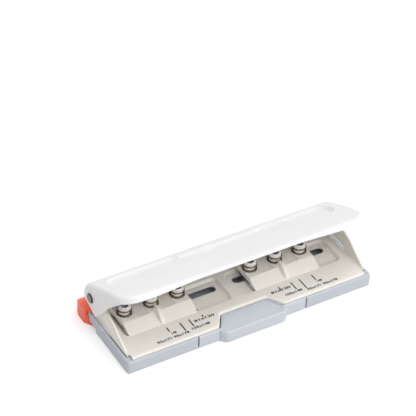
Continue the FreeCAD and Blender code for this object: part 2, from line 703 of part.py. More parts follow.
def lid_volume(inset):
    """Everything under the handle's roll and crowned top, as one solid."""
    radius = ROLL_R - inset
    crown_r = LID_CROWN_R - inset
    half_angle = math.asin(LID_LENGTH / 2 / LID_CROWN_R)
    first = math.pi / 2 - TILT - half_angle
    last = math.pi / 2 - TILT + half_angle * LID_OVERHANG_TURN
    reach = LID_CROWN_R - ROLL_R
    crown_y = ROLL_Y - reach * math.cos(first)
    crown_z = ROLL_Z - reach * math.sin(first)
    x0 = LID_HALF_LENGTH - inset

    def on_roll(angle):
        return V(-x0, ROLL_Y + radius * math.cos(angle), ROLL_Z + radius * math.sin(angle))

    def on_crown(angle):
        return V(-x0, crown_y + crown_r * math.cos(angle), crown_z + crown_r * math.sin(angle))

    low = FLANGE_TIP[1] - 4
    heel = V(-x0, ROLL_Y + radius, low)
    toe = V(-x0, on_crown(last).y, low)
    edges = [
        Part.makeLine(heel, on_roll(0)),
        Part.Arc(on_roll(0), on_roll(first / 2), on_roll(first)).toShape(),
        Part.Arc(on_crown(first), on_crown((first + last) / 2), on_crown(last)).toShape(),
        Part.makeLine(on_crown(last), toe),
        Part.makeLine(toe, heel),
    ]
    return Part.Face(Part.Wire(edges)).extrude(V(2 * x0, 0, 0))


def lid_plan(inset):
    """Prism of the handle's plan: round front corners and a slightly bowed front edge."""
    half = LID_HALF_LENGTH - inset
    corner_r = LID_CORNER_R - inset
    corner_x = LID_HALF_LENGTH - LID_CORNER_R
    bow_v = LID_LENGTH - LID_BOW_R
    corner_v = bow_v + math.sqrt((LID_BOW_R - LID_CORNER_R) ** 2 - corner_x ** 2)
    lean = math.asin(corner_x / (LID_BOW_R - LID_CORNER_R))
    turn = (math.pi / 2 + lean) / 2
    bow_r = LID_BOW_R - inset
    rear_v = -ROLL_R * 4
    place = lid_at_depth(-ROLL_R)

    def corner_point(side, angle):
        return place(side * (corner_x + corner_r * math.sin(angle)), corner_v + corner_r * math.cos(angle))

    right = [corner_point(1, math.pi / 2), corner_point(1, turn), corner_point(1, lean)]
    left = [corner_point(-1, math.pi / 2), corner_point(-1, turn), corner_point(-1, lean)]
    edges = [
        Part.makeLine(place(half, rear_v), right[0]),
        Part.Arc(*right).toShape(),
        Part.Arc(right[2], place(0, bow_v + bow_r), left[2]).toShape(),
        Part.Arc(left[2], left[1], left[0]).toShape(),
        Part.makeLine(left[0], place(-half, rear_v)),
        Part.makeLine(place(-half, rear_v), place(half, rear_v)),
    ]
    return Part.Face(Part.Wire(edges)).extrude(lid_normal() * -(ROLL_R * 6))


def lid_solid(inset):
    """Full volume of the handle's skin, with its top edges rounded."""
    solid = lid_volume(inset).common(lid_plan(inset))
    top_faces = []
    for face in solid.Faces:
        surface = face.Surface
        if isinstance(surface, Part.Cylinder) and abs(surface.Axis.x) > 0.99:
            top_faces.append(face)
    rims = []
    for face in top_faces:
        for edge in face.Edges:
            ends = [vertex.Point for vertex in edge.Vertexes]
            if len(ends) == 2 and near(ends[0].y, ends[1].y) and near(ends[0].z, ends[1].z):
                straight = isinstance(edge.Curve, Part.Line)
                if straight:
                    continue
            rims.append(edge)
    return solid.makeFillet(LID_EDGE_R - inset, rims)


def groove_outline(grow, w):
    """Finger groove with a step in its rear edge, at depth w below the top plane."""
    x1 = GROOVE_HALF + grow
    front = GROOVE_FRONT_V + grow
    back = GROOVE_BACK_V - grow
    step = back + GROOVE_JOG
    jog = GROOVE_JOG_HALF + grow * 0.5
    radius = GROOVE_END_R + grow
    corners = [
        (-x1, front, radius), (x1, front, radius), (x1, back, radius),
        (jog + GROOVE_JOG_SLANT, back, GROOVE_JOG_R), (jog, step, GROOVE_JOG_R),
        (-jog, step, GROOVE_JOG_R), (-jog - GROOVE_JOG_SLANT, back, GROOVE_JOG_R),
        (-x1, back, radius),
    ]
    return outline(corners, lid_at_depth(w))


def groove_volume(drop, grow):
    """Tapered volume pressed down into the top, to the groove's depth plus drop."""
    high = -3.0
    low = GROOVE_DEPTH + drop
    flare = GROOVE_FLARE * (low - drop - high) / GROOVE_DEPTH
    lower = groove_outline(grow, low)
    upper = groove_outline(grow + flare, high + drop)
    return Part.makeLoft([lower, upper], True, True)


def flange_outline():
    """Side view that the two end flanges keep."""
    meet_z = ROLL_Z + math.sqrt(ROLL_R ** 2 - (FLANGE_REAR_Y - ROLL_Y) ** 2)
    beyond_y = ROLL_Y + ROLL_R * 2
    corners = [
        FLANGE_TIP + (FLANGE_TIP_R,), (FLANGE_REAR_Y, FLANGE_HEEL_Z, FLANGE_HEEL_R),
        (FLANGE_REAR_Y, meet_z), (beyond_y, meet_z), (beyond_y, ROLL_Z + ROLL_R * 2),
    ]
    far_v = LID_LENGTH + LIP_END
    for v, w, radius in ((far_v, -ROLL_R, 0), (far_v, LIP_END, 0),
                         (FLANGE_SHOULDER_V, LIP_END, FLANGE_BEND_R),
                         (FLANGE_KNEE_V, FLANGE_KNEE_W, FLANGE_BEND_R)):
        point = lid_frame(0, v, w)
        corners.append((point.y, point.z, radius))
    return corners + [FLANGE_NOSE + (FLANGE_BEND_R,)]


def flange_trim():
    """What is cut off outside the right flange's outline."""
    x0 = LID_INNER_X
    reach = LID_SHEET + 1
    whole = block(x0, x0 + reach, -60, 60, 0, 90)
    return whole.cut(prism(flange_outline(), at_x(x0 - 1), V(reach + 2, 0, 0)))


def corner_trim():
    """What is cut off below the flange's outline round the right front corner."""
    x0 = LID_HALF_LENGTH - LID_CORNER_R
    reach = LID_CORNER_R + 1
    front_y = lid_frame(0, LID_LENGTH - LID_CORNER_R - 4, 0).y
    whole = block(x0, x0 + reach, -60, front_y, 0, 90)
    return whole.cut(prism(flange_outline(), at_x(x0 - 1), V(reach + 2, 0, 0)))


def lip_trim():
    """Cutter under the front lip, which is deeper at its ends than in its middle."""
    deep = LIP_END * 8
    x1 = LID_HALF_LENGTH - LID_CORNER_R + 0.01
    corners = both_sides([
        (x1, deep), (x1, LIP_END), (LIP_END_HALF, LIP_END, LIP_BEND_R),
        (LIP_MIDDLE_HALF, LIP_MIDDLE, LIP_BEND_R),
    ])
    start = LID_LENGTH - 12
    wire = outline(corners, lambda a, b: lid_frame(a, start, b))
    forward = lid_frame(0, 1, 0) - lid_frame(0, 0, 0)
    return Part.Face(wire).extrude(forward * 30)


def lock_slot():
    corners = [
        (LOCK_SLOT_LEFT_X, LOCK_SLOT_LOW_Z, LOCK_SLOT_R), (LOCK_SLOT_RIGHT_X, LOCK_SLOT_LOW_Z, LOCK_SLOT_R),
        (LOCK_SLOT_RIGHT_X, LOCK_SLOT_HIGH_Z, LOCK_SLOT_R), (LOCK_SLOT_LEFT_X, LOCK_SLOT_HIGH_Z, LOCK_SLOT_R),
    ]
    return prism(corners, at_y(ROLL_Y + ROLL_R + 1), V(0, -ROLL_R / 2, 0))


def handle_cover():
    outer = lid_solid(0)
    inner = lid_solid(LID_SHEET)
    low = FLANGE_TIP[1] - 5
    under = block(-LID_INNER_X, LID_INNER_X, ROLL_Y, ROLL_Y + ROLL_R, low, low + 2)
    inner = inner.fuse(under)
    groove = groove_volume(0, 0)
    boss = groove_volume(LID_SHEET, LID_SHEET * 0.7)
    shell = outer.cut(inner.cut(boss)).cut(groove)
    foot = block(-LID_INNER_X, LID_INNER_X, ROLL_Y + ROLL_R * 0.7, ROLL_Y + ROLL_R + 1, low - 1, BACK_EDGE_Z)
    front = block(-LID_INNER_X, LID_INNER_X, -60, ROLL_Y + ROLL_R * 0.7, low - 1, BACK_EDGE_Z)
    slit_x = LID_INNER_X - RELIEF_WIDTH
    slit = block(slit_x, LID_INNER_X, ROLL_Y + ROLL_R * RELIEF_SHARE, ROLL_Y + ROLL_R + 1, low - 1, RELIEF_TOP_Z)
    bore = Part.makeCylinder(HINGE_PIN_R + HINGE_CLEARANCE, LID_SHEET + 2,
                             V(LID_INNER_X - 1, HINGE_Y, HINGE_Z), V(1, 0, 0))
    trim = flange_trim()
    cuts = [foot, front, lip_trim(), lock_slot()]
    for piece in (slit, bore, trim, corner_trim()):
        cuts += [piece, mirrored_x(piece)]
    cover = shell.cut(cuts)
    solids = sorted(cover.Solids, key=lambda solid: solid.Volume)
    return solids[-1]


def press_bar():
    """Angle strip under the groove: a web with a rounded edge, and a flange to weld on."""
    radius = BAR_WEB / 2
    edge_y = BAR_EDGE_Y
    edge_z = PIN_TOP_Z + BAR_REST_GAP + radius
    root = lid_frame(0, 0, 0)
    offset = V(0, edge_y, edge_z) - root
    normal = lid_normal()
    forward = lid_frame(0, 1, 0) - lid_frame(0, 0, 0)
    web_v = offset.dot(forward)
    web_w = -offset.dot(normal)
    top_w = GROOVE_DEPTH + LID_SHEET

    def point(v, w):
        return lid_frame(-BAR_HALF_LENGTH, v, w)

    centre = point(web_v, web_w)
    tip = centre - normal * radius
    inner = web_v + radius
    outer = web_v - radius
    end = outer + BAR_FLANGE_LENGTH
    edges = [
        Part.makeLine(point(outer, top_w), point(outer, web_w)),
        Part.Arc(point(outer, web_w), tip, point(inner, web_w)).toShape(),
        Part.makeLine(point(inner, web_w), point(inner, top_w + BAR_FLANGE)),
        Part.makeLine(point(inner, top_w + BAR_FLANGE), point(end, top_w + BAR_FLANGE)),
        Part.makeLine(point(end, top_w + BAR_FLANGE), point(end, top_w)),
        Part.makeLine(point(end, top_w), point(outer, top_w)),
    ]
    return Part.Face(Part.Wire(edges)).extrude(V(2 * BAR_HALF_LENGTH, 0, 0))


# Lock slide

def rounded_bar(x0, x1, z0, z1, y0, y1, radius):
    corners = [(x0, z0, radius), (x1, z0, radius), (x1, z1, radius), (x0, z1, radius)]
    return prism(corners, at_y(y0), V(0, y1 - y0, 0))


def lock_slide():
    """Plate behind the slot in the handle's back; the knob's tongue goes through it."""
    x0 = LOCK_SLOT_LEFT_X - LOCK_TRAVEL - LOCK_PLATE_LAP
    x1 = LOCK_SLOT_RIGHT_X + LOCK_PLATE_LAP
    z0 = BACK_EDGE_Z + LOCK_PLATE_RISE
    plate = rounded_bar(x0, x1, z0, z0 + LOCK_PLATE_HEIGHT, LOCK_BACK_Y - LOCK_PLATE, LOCK_BACK_Y, LOCK_PLATE_R)
    roll = Part.makeCylinder(ROLL_R - LID_SHEET - LOCK_PLATE_GAP, x1 - x0 + 2,
                             V(x0 - 1, ROLL_Y, ROLL_Z), V(1, 0, 0))
    low = block(x0 - 1, x1 + 1, ROLL_Y, ROLL_Y + ROLL_R, z0 - 1, ROLL_Z)
    return plate.common(roll.fuse(low)).cut(lock_knob())


def knob_button():
    """D-shaped thumb button with a sloping top and a fluted rim."""
    y = KNOB_REACH - KNOB_R
    button = cylinder_z(KNOB_R, KNOB_X, y, KNOB_FOOT_Z, KNOB_TOP_Z)
    slope = (KNOB_TOP_Z - KNOB_RIM_Z) / (KNOB_REACH - KNOB_BACK_Y)
    beyond_y = KNOB_REACH + 1
    side = [(KNOB_BACK_Y, KNOB_FOOT_Z), (beyond_y, KNOB_FOOT_Z), (beyond_y, KNOB_RIM_Z - slope),
            (KNOB_BACK_Y, KNOB_TOP_Z)]
    button = button.common(prism(side, at_x(KNOB_X - KNOB_R), V(2 * KNOB_R, 0, 0)))
    rim = [edge for edge in button.Edges
           if len(edge.Vertexes) == 2 and not near(edge.Vertexes[0].Point.z, KNOB_FOOT_Z)
           and isinstance(edge.Curve, Part.Ellipse)]
    button = button.makeFillet(KNOB_EDGE_R, rim)
    flutes = []
    reach = KNOB_R + KNOB_FLUTE_R * 0.35
    for i in range(KNOB_FLUTES):
        angle = 2 * math.pi * i / KNOB_FLUTES
        fx = KNOB_X + reach * math.cos(angle)
        fy = y + reach * math.sin(angle)
        if fy > KNOB_BACK_Y + KNOB_FLUTE_R:
            flutes.append(cylinder_z(KNOB_FLUTE_R, fx, fy, KNOB_FOOT_Z - 1, KNOB_RIM_Z - KNOB_EDGE_R))
    return button.cut(flutes)


def lock_knob():
    """Thumb button with its neck in the slot and a tongue through the slide."""
    neck = rounded_bar(KNOB_X - NECK_HALF, KNOB_X + NECK_HALF, LOCK_SLOT_LOW_Z + LOCK_PLATE_GAP,
                       KNOB_TOP_Z - LOCK_PLATE_GAP, LOCK_BACK_Y, KNOB_BACK_Y + LOCK_PLATE_GAP, NECK_R)
    tongue_z = (LOCK_SLOT_LOW_Z + LOCK_SLOT_HIGH_Z) / 2
    tongue = block(KNOB_X - TONGUE_HALF, KNOB_X + TONGUE_HALF, LOCK_BACK_Y - LOCK_PLATE, LOCK_BACK_Y,
                   tongue_z - TONGUE_HALF / 2, tongue_z + TONGUE_HALF / 2)
    return knob_button().fuse([neck, tongue]).removeSplitter()


# Paper guide

def guide_back():
    """Corners of the guide's rear side and crest, from the foot up."""
    return [
        (GUIDE_REAR_Y, GUIDE_FOOT_Z, GUIDE_EDGE_R), (GUIDE_REAR_Y, GUIDE_BACK_TOP_Z, GUIDE_ROUND_R),
        (GUIDE_REAR_Y - GUIDE_SHOULDER_SET, GUIDE_SHOULDER_Z, GUIDE_ROUND_R / 2),
        (GUIDE_CREST_Y, GUIDE_TOP_Z, GUIDE_ROUND_R),
    ]


def guide_profile():
    """Side view of the guide: a hook over the rim, down the back and under the tray."""
    lip_z = DECK_TOP_Z + GUIDE_GAP
    rim_z = TRAY_RIM_Z + GUIDE_GAP
    return guide_back() + [
        (GUIDE_TIP_Y, GUIDE_TIP_Z, GUIDE_EDGE_R / 2), (GUIDE_TIP_Y, lip_z),
        (DECK_HALF_DEPTH, lip_z), (TRAY_HALF_DEPTH - TRAY_WALL, rim_z),
        (GUIDE_BACK_Y, rim_z), (GUIDE_BACK_Y, GUIDE_ARM_TOP_Z),
        (GUIDE_BAR_FRONT_Y, GUIDE_ARM_TOP_Z), (GUIDE_BAR_FRONT_Y, GUIDE_FOOT_Z),
    ]


def guide_wall():
    """Outer end wall of the guide, along the tray's left end."""
    return guide_back() + [
        (GUIDE_TIP_Y + GUIDE_ROUND_R, GUIDE_TIP_Z, GUIDE_EDGE_R), GUIDE_WALL_BELLY + (GUIDE_ROUND_R,),
        (GUIDE_WALL_TOE_Y, GUIDE_ARM_TOP_Z, GUIDE_EDGE_R), (GUIDE_WALL_TOE_Y, GUIDE_FOOT_Z),
    ]


def guide_plan():
    """Plan of the guide's left side: rounded at the rear, drawn in at the front."""
    right = GUIDE_BAR_RIGHT_X + 1
    round_r = GUIDE_ROUND_R
    return [
        (right, GUIDE_REAR_Y + 1), (GUIDE_LEFT_X + 1.1 * round_r, GUIDE_REAR_Y + 1),
        (GUIDE_LEFT_X + 0.75 * round_r, GUIDE_REAR_Y, round_r * 0.75),
        (GUIDE_LEFT_X, TRAY_HALF_DEPTH + round_r, round_r * 1.5),
        (GUIDE_LEFT_X, GUIDE_WALL_BELLY[0] + 0.4, round_r),
        (GUIDE_LEFT_X + 1.6 * round_r, GUIDE_TIP_Y - 1), (GUIDE_LEFT_X + 4 * round_r, GUIDE_BAR_FRONT_Y - 1),
        (right, GUIDE_BAR_FRONT_Y - 1),
    ]


def paper_guide():
    hook = prism(guide_profile(), at_x(GUIDE_WALL_X), V(GUIDE_RIGHT_X - GUIDE_WALL_X, 0, 0))
    wall = prism(guide_wall(), at_x(GUIDE_LEFT_X), V(GUIDE_WALL_X - GUIDE_LEFT_X, 0, 0))
    arm_left = GUIDE_RIGHT_X - 1
    arm = prism([(GUIDE_RIGHT_X, GUIDE_REAR_Y), (GUIDE_RIGHT_X + GUIDE_ARM_SLANT, GUIDE_BAR_REAR_Y),
                 (GUIDE_BAR_RIGHT_X, GUIDE_BAR_REAR_Y, GUIDE_ROUND_R),
                 (GUIDE_BAR_RIGHT_X, GUIDE_BAR_FRONT_Y, GUIDE_ROUND_R),
                 (arm_left, GUIDE_BAR_FRONT_Y), (arm_left, GUIDE_REAR_Y)],
                at_z(GUIDE_FOOT_Z), V(0, 0, GUIDE_ARM_TOP_Z - GUIDE_FOOT_Z))
    body = hook.fuse([wall, arm]).removeSplitter()
    body = body.common(prism(guide_plan(), at_z(-1), V(0, 0, GUIDE_TOP_Z + 2)))
    peg = cylinder_z(GUIDE_PEG_R, GUIDE_PEG_X, GUIDE_PEG_Y, GUIDE_ARM_TOP_Z - 0.5,
                     GUIDE_WASHER_Z + GUIDE_WASHER + GUIDE_PEG_TOP)
    return body.fuse(peg).removeSplitter()


def guide_washer():
    """Push-on washer that holds the guide's peg in its slot."""
    z0 = GUIDE_WASHER_Z
    disc = cylinder_z(GUIDE_WASHER_R, GUIDE_PEG_X, GUIDE_PEG_Y, z0, z0 + GUIDE_WASHER)
    return disc.cut(cylinder_z(GUIDE_PEG_R, GUIDE_PEG_X, GUIDE_PEG_Y, z0 - 1, z0 + GUIDE_WASHER + 1))


# Punch carriages, each built about its own middle

def hole_places():
    return [-HOLE_PITCH, 0.0, HOLE_PITCH]


def screw_places():
    return [-SCREW_SPACING / 2, SCREW_SPACING / 2]


def die_plate(x):
    plate = rounded_block(x - CARRIAGE_HALF, x + CARRIAGE_HALF, DIE_FRONT_Y, DIE_REAR_Y,
                          DIE_BOTTOM_Z, DIE_TOP_Z, 1.5)
    radius = PUNCH_R + DIE_HOLE_CLEARANCE
    holes = [cylinder_z(radius, x + dx, PUNCH_Y, DIE_BOTTOM_Z - 1, DIE_TOP_Z + 1) for dx in hole_places()]
    holes += [cylinder_z(SCREW_R, x + dx, PUNCH_Y, DIE_BOTTOM_Z - 1, DIE_TOP_Z + 1) for dx in screw_places()]
    return plate.cut(holes)


def block_profile():
    """End view of the punch block: sloping front, flat top, open at the back for paper."""
    toe_z = DECK_TOP_Z + GUIDE_GAP / 2
    return [
        (BLOCK_TOE_Y, toe_z), (DIE_FRONT_Y, toe_z), (DIE_FRONT_Y, DIE_TOP_Z),
        (PAPER_STOP_Y, DIE_TOP_Z), (PAPER_STOP_Y, BLOCK_LOW_Z), (BLOCK_REAR_Y, BLOCK_LOW_Z),
        (BLOCK_REAR_Y, BLOCK_TOP_Z, BLOCK_EDGE_R), (BLOCK_SLOPE_TOP_Y, BLOCK_TOP_Z, BLOCK_EDGE_R * 2),
        (BLOCK_TOE_Y, BLOCK_TOE_Z),
    ]


def pointer_fin(x):
    """Fin down the middle of the slope with a round crest, wide at the top and narrow at the toe."""
    def section(y, half, low, crest, drop):
        foot_left = V(x - half, y, low)
        foot_right = V(x + half, y, low)
        right = V(x + FIN_CREST_HALF, y, crest - drop)
        left = V(x - FIN_CREST_HALF, y, crest - drop)
        return Part.Wire([
            Part.makeLine(foot_left, foot_right), Part.makeLine(foot_right, right),
            Part.Arc(right, V(x, y, crest), left).toShape(), Part.makeLine(left, foot_left),
        ])

    toe_z = DECK_TOP_Z + GUIDE_GAP / 2
    back = section(FIN_BACK_Y, FIN_ROOT_HALF, BLOCK_TOP_Z - FIN_ROOT_DEPTH, FIN_TOP_Z, FIN_CREST_DROP)
    toe = section(BLOCK_TOE_Y, FIN_TOE_HALF, toe_z, BLOCK_TOE_Z + FIN_TOE_RISE, FIN_TOE_RISE)
    return Part.makeLoft([back, toe], True, True)


def dish(x, side):
    """Shallow hollow in the block's top between two pins."""
    x0 = x + side * DISH_INNER
    x1 = x + side * DISH_OUTER
    low, high = min(x0, x1), max(x0, x1)
    z0 = BLOCK_TOP_Z - BLOCK_DISH
    grow = BLOCK_DISH * 1.4

    def ring(extra, z):
        return outline([(low - extra, DISH_FRONT_Y - extra * 0.4, 1.2), (high + extra, DISH_FRONT_Y - extra * 0.4, 1.2),
                        (high + extra, DISH_REAR_Y + extra, 1.2), (low - extra, DISH_REAR_Y + extra, 1.2)], at_z(z))

    return Part.makeLoft([ring(0, z0), ring(grow, z0 + BLOCK_DISH * 1.5)], True, True)


def punch_block(x):
    body = prism(block_profile(), at_x(x - CARRIAGE_HALF), V(2 * CARRIAGE_HALF, 0, 0))
    body = body.fuse(pointer_fin(x)).removeSplitter()
    cuts = [dish(x, -1), dish(x, 1)]
    for dx in hole_places():
        cuts.append(cylinder_z(SPRING_SEAT_R, x + dx, PUNCH_Y, SPRING_SEAT_Z, FIN_TOP_Z + 1))
        cuts.append(cylinder_z(SLEEVE_R + BODY_BORE_CLEARANCE, x + dx, PUNCH_Y, BODY_BORE_FLOOR_Z, SPRING_SEAT_Z + 1))
        cuts.append(cylinder_z(PUNCH_R + DIE_HOLE_CLEARANCE, x + dx, PUNCH_Y, BLOCK_LOW_Z - 1, SPRING_SEAT_Z))
    return body.cut(cuts)


def slot_screw(x):
    """Countersunk screw from under the keeper plate into the die plate."""
    cone = Part.makeCone(SCREW_HEAD_R, SCREW_R, SCREW_HEAD_HEIGHT, V(x, PUNCH_Y, KEEPER_BOTTOM_Z), V(0, 0, 1))
    shank = cylinder_z(SCREW_R, x, PUNCH_Y, KEEPER_BOTTOM_Z + SCREW_HEAD_HEIGHT, DIE_TOP_Z)
    return cone.fuse(shank).removeSplitter()


def slot_screws(x):
    return Part.makeCompound([slot_screw(x + dx) for dx in screw_places()])


def keeper_plate(x):
    """Plate that slides under the deck, with two bosses that run in the slot."""
    plate = rounded_block(x - KEEPER_HALF, x + KEEPER_HALF, PUNCH_Y - KEEPER_HALF_DEPTH, PUNCH_Y + KEEPER_HALF_DEPTH,
                          KEEPER_BOTTOM_Z, KEEPER_TOP_Z, 2.0)
    bosses = [cylinder_z(KEEPER_BOSS_R, x + dx, PUNCH_Y, KEEPER_BOTTOM_Z, DIE_BOTTOM_Z) for dx in screw_places()]
    holes = [cylinder_z(KEEPER_CHIP_R, x + dx, PUNCH_Y, KEEPER_BOTTOM_Z - 1, KEEPER_TOP_Z + 1) for dx in hole_places()]
    screws = [slot_screw(x + dx) for dx in screw_places()]
    return plate.fuse(bosses).removeSplitter().cut(holes + screws)


def punch_pin(x):
    """Hollow-ground punch with a flat head that stands on its sleeve."""
    punch = cylinder_z(PUNCH_R, x, PUNCH_Y, PUNCH_TIP_Z, SLEEVE_TOP_Z)
    head = cylinder_z(PIN_HEAD_R, x, PUNCH_Y, SLEEVE_TOP_Z, PIN_TOP_Z)
    head = head.makeFillet(PIN_EDGE_R, edges_where(head, lambda p: near(p.z, PIN_TOP_Z)))
    hollow = Part.makeCone(PUNCH_R - PUNCH_EDGE, PUNCH_HOLLOW_R, PUNCH_HOLLOW_DEPTH,
                           V(x, PUNCH_Y, PUNCH_TIP_Z), V(0, 0, 1))
    return punch.fuse(head).removeSplitter().cut(hollow)


def pin_sleeve(x):
    """Sleeve round the pin, with a rim that the spring pushes against."""
    tube = cylinder_z(SLEEVE_R, x, PUNCH_Y, SLEEVE_FOOT_Z, SLEEVE_TOP_Z)
    rim = cylinder_z(SLEEVE_RIM_R, x, PUNCH_Y, SLEEVE_RIM_Z, SLEEVE_TOP_Z)
    sleeve = tube.fuse(rim).removeSplitter()
    return sleeve.cut(cylinder_z(PUNCH_R, x, PUNCH_Y, SLEEVE_FOOT_Z - 1, SLEEVE_TOP_Z + 1))


def spring_height(turn):
    """Height of the wire's middle after so many turns: flat ends, steep middle."""
    turns = SPRING_QUARTERS / 4
    low = SPRING_SEAT_Z + SPRING_WIRE_R + SPRING_END_GAP
    high = SLEEVE_RIM_Z - SPRING_WIRE_R - SPRING_END_GAP
    extra = high - low - SPRING_END_PITCH * turns
    share = min(max((turn - SPRING_END_TURNS) / (turns - 2 * SPRING_END_TURNS), 0.0), 1.0)
    smooth = share * share * (3 - 2 * share)
    return low + SPRING_END_PITCH * turn + extra * smooth


def spring_point(x, start, turn):
    angle = start + 2 * math.pi * turn
    return V(x + SPRING_MEAN_R * math.cos(angle), PUNCH_Y + SPRING_MEAN_R * math.sin(angle), spring_height(turn))


def spring_direction(x, start, turn):
    step = 0.0005
    return (spring_point(x, start, turn + step) - spring_point(x, start, turn - step)).normalize()


def arc_from(start, direction, end):
    """Arc that leaves start along direction and ends at end."""
    chord = end - start
    half = chord.Length / 2
    along = chord / chord.Length
    side = direction - along * direction.dot(along)
    angle = math.atan2(side.Length, direction.dot(along))
    sagitta = half * math.tan(angle / 2)
    middle = start + chord / 2 + side.normalize() * sagitta
    return Part.Arc(start, middle, end).toShape()


def biarc(start, start_direction, end, end_direction):
    """Two arcs that join the ends smoothly along both directions."""
    across = end - start
    total = start_direction + end_direction
    slack = 2 * (1 - start_direction.dot(end_direction))
    dot = across.dot(total)
    reach = (-dot + math.sqrt(dot * dot + slack * across.dot(across))) / slack
    joint = (start + start_direction * reach + end - end_direction * reach) / 2
    meet = (end - end_direction * reach - start - start_direction * reach).normalize()
    return [arc_from(start, start_direction, joint), arc_from(joint, meet, end)]


def pin_spring(x, start_angle):
    """Round wire coil between the block and a sleeve's rim."""
    start = math.radians(start_angle)
    edges = []
    for i in range(SPRING_QUARTERS):
        first = i / 4
        last = (i + 1) / 4
        edges += biarc(spring_point(x, start, first), spring_direction(x, start, first),
                       spring_point(x, start, last), spring_direction(x, start, last))
    path = Part.Wire(edges)
    ring = Part.Wire(Part.makeCircle(SPRING_WIRE_R, spring_point(x, start, 0), spring_direction(x, start, 0)))
    shell = Part.BRepOffsetAPI.MakePipeShell(path)
    shell.add(ring)
    shell.build()
    shell.makeSolid()
    return shell.shape()


def spring_gap():
    """Least gap between turns of one spring, from points along its wire."""
    samples = 40 * SPRING_QUARTERS
    turns = SPRING_QUARTERS / 4
    points = [spring_point(0, 0, turns * i / samples) for i in range(samples + 1)]
    apart = samples // SPRING_QUARTERS * 2
    least = min((points[i] - points[j]).Length for i in range(len(points)) for j in range(i + apart, len(points)))
    return least - 2 * SPRING_WIRE_R


def carriage_nodes(name, x):
    nodes = {
        name + "_die_plate": die_plate(x),
        name + "_punch_block": punch_block(x),
        name + "_keeper_plate": keeper_plate(x),
        name + "_slot_screws": slot_screws(x),
    }
    for i, dx in enumerate(hole_places()):
        nodes[name + "_pin_" + str(i + 1)] = punch_pin(x + dx)
        nodes[name + "_sleeve_" + str(i + 1)] = pin_sleeve(x + dx)
        nodes[name + "_spring_" + str(i + 1)] = pin_spring(x + dx, SPRING_STARTS[name][i])
    return nodes


def all_nodes():
    nodes = {
        "chip_tray": chip_tray(),
        "tray_latch": tray_latch(),
        "base_deck": base_deck(),
        "left_hinge_pin": hinge_pin(-1),
        "right_hinge_pin": hinge_pin(1),
        "handle_cover": handle_cover(),
        "press_bar": press_bar(),
        "lock_slide": lock_slide(),
        "lock_knob": lock_knob(),
        "paper_guide": paper_guide(),
        "guide_washer": guide_washer(),
    }
    for name, x in CARRIAGE_X.items():
        nodes.update(carriage_nodes(name, x))
    return nodes


os.makedirs("parts", exist_ok=True)
for node, shape in all_nodes().items():
    shape.exportStep("parts/" + node + ".step")
    print(node, "solids", len(shape.Solids), "valid", shape.isValid(), "volume", round(shape.Volume, 1))
print("least gap between spring turns", round(spring_gap(), 2))
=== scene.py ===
import math

import bmesh
import bpy
from mathutils import Matrix, Vector


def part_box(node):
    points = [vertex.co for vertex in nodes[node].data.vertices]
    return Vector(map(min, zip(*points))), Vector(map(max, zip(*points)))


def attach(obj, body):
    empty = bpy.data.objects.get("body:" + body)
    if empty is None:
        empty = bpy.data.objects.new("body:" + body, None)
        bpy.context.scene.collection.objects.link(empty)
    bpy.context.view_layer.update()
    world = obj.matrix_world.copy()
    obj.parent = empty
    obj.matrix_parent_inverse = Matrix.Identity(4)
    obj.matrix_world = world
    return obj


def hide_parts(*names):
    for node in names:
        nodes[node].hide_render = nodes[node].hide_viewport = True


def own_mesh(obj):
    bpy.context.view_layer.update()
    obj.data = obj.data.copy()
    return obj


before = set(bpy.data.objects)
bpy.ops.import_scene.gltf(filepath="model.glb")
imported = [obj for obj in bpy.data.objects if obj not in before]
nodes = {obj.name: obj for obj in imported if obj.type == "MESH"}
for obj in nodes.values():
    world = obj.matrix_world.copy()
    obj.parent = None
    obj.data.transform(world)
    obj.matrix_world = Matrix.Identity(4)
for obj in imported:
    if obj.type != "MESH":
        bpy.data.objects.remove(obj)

# Six-hole punch for planner pages. Lengths are in metres unless a name or a comment says otherwise.
MM = 0.001

# Camera, solved from the punch's own edges; angles in degrees
CAMERA_AZIMUTH = -32.494
CAMERA_ELEVATION = 39.047
CAMERA_ROLL = 3.27
CAMERA_DISTANCE = 1183.0 * MM
CAMERA_FOCAL_PX = 1854.458
CAMERA_AIM = Vector((0, 0, 20 * MM))
CAMERA_SIDE_PX = 22.223
CAMERA_RISE_PX = -68.921
PHOTO_PX = 416
SENSOR = 36.0
CAMERA_CLIP = (0.01, 20)

# Base colours of the surfaces, as linear values
LID_WHITE = (0.87, 0.86, 0.865, 1)
DECK_CREAM = (0.85, 0.82, 0.76, 1)
BLOCK_CREAM = (0.86, 0.835, 0.775, 1)
TRAY_GREY = (0.54, 0.57, 0.62, 1)
TAB_GREY = (0.595, 0.63, 0.68, 1)
PANEL_GREY = (0.615, 0.67, 0.72, 1)
SLEEVE_WHITE = (0.90, 0.885, 0.86, 1)
ORANGE = (0.98, 0.135, 0.06, 1)
# Black of the print, also used for a painted shadow in the left pocket
PRINT_AND_SHADOW_BLACK = (0.012, 0.011, 0.013, 1)
STEEL = (0.55, 0.54, 0.52, 1)
RIVET_STEEL = (0.27, 0.24, 0.205, 1)
PIN_STEEL = (0.66, 0.65, 0.63, 1)
# Painted reflection: the dark underside of the handle seen in the pin heads' cores
HEAD_REFLECTION_DARK = (0.22, 0.22, 0.23, 1)
WIRE_BROWN = (0.24, 0.155, 0.10, 1)

# Places and sizes on the solids that the finishes and the pieces go by
HINGE_Y = 20.1 * MM
HINGE_Z = 23.3 * MM
HINGE_HEAD_R = 3.3 * MM
PUNCH_Y = 7.0 * MM
HOLE_PITCH = 19.0 * MM
CARRIAGE_X = {"left": -54.0 * MM, "right": 38.0 * MM}
NECK_LOW_Z = 12.3 * MM
HEAD_REFLECTION_R = 2.55 * MM
HEAD_REFLECTION_Z = 20.6 * MM

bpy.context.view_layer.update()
SIDES = ("left", "right")


# Materials

def new_material(name):
    material = bpy.data.materials.new(name)
    material.use_nodes = True
    tree = material.node_tree
    return material, tree, tree.nodes["Principled BSDF"]


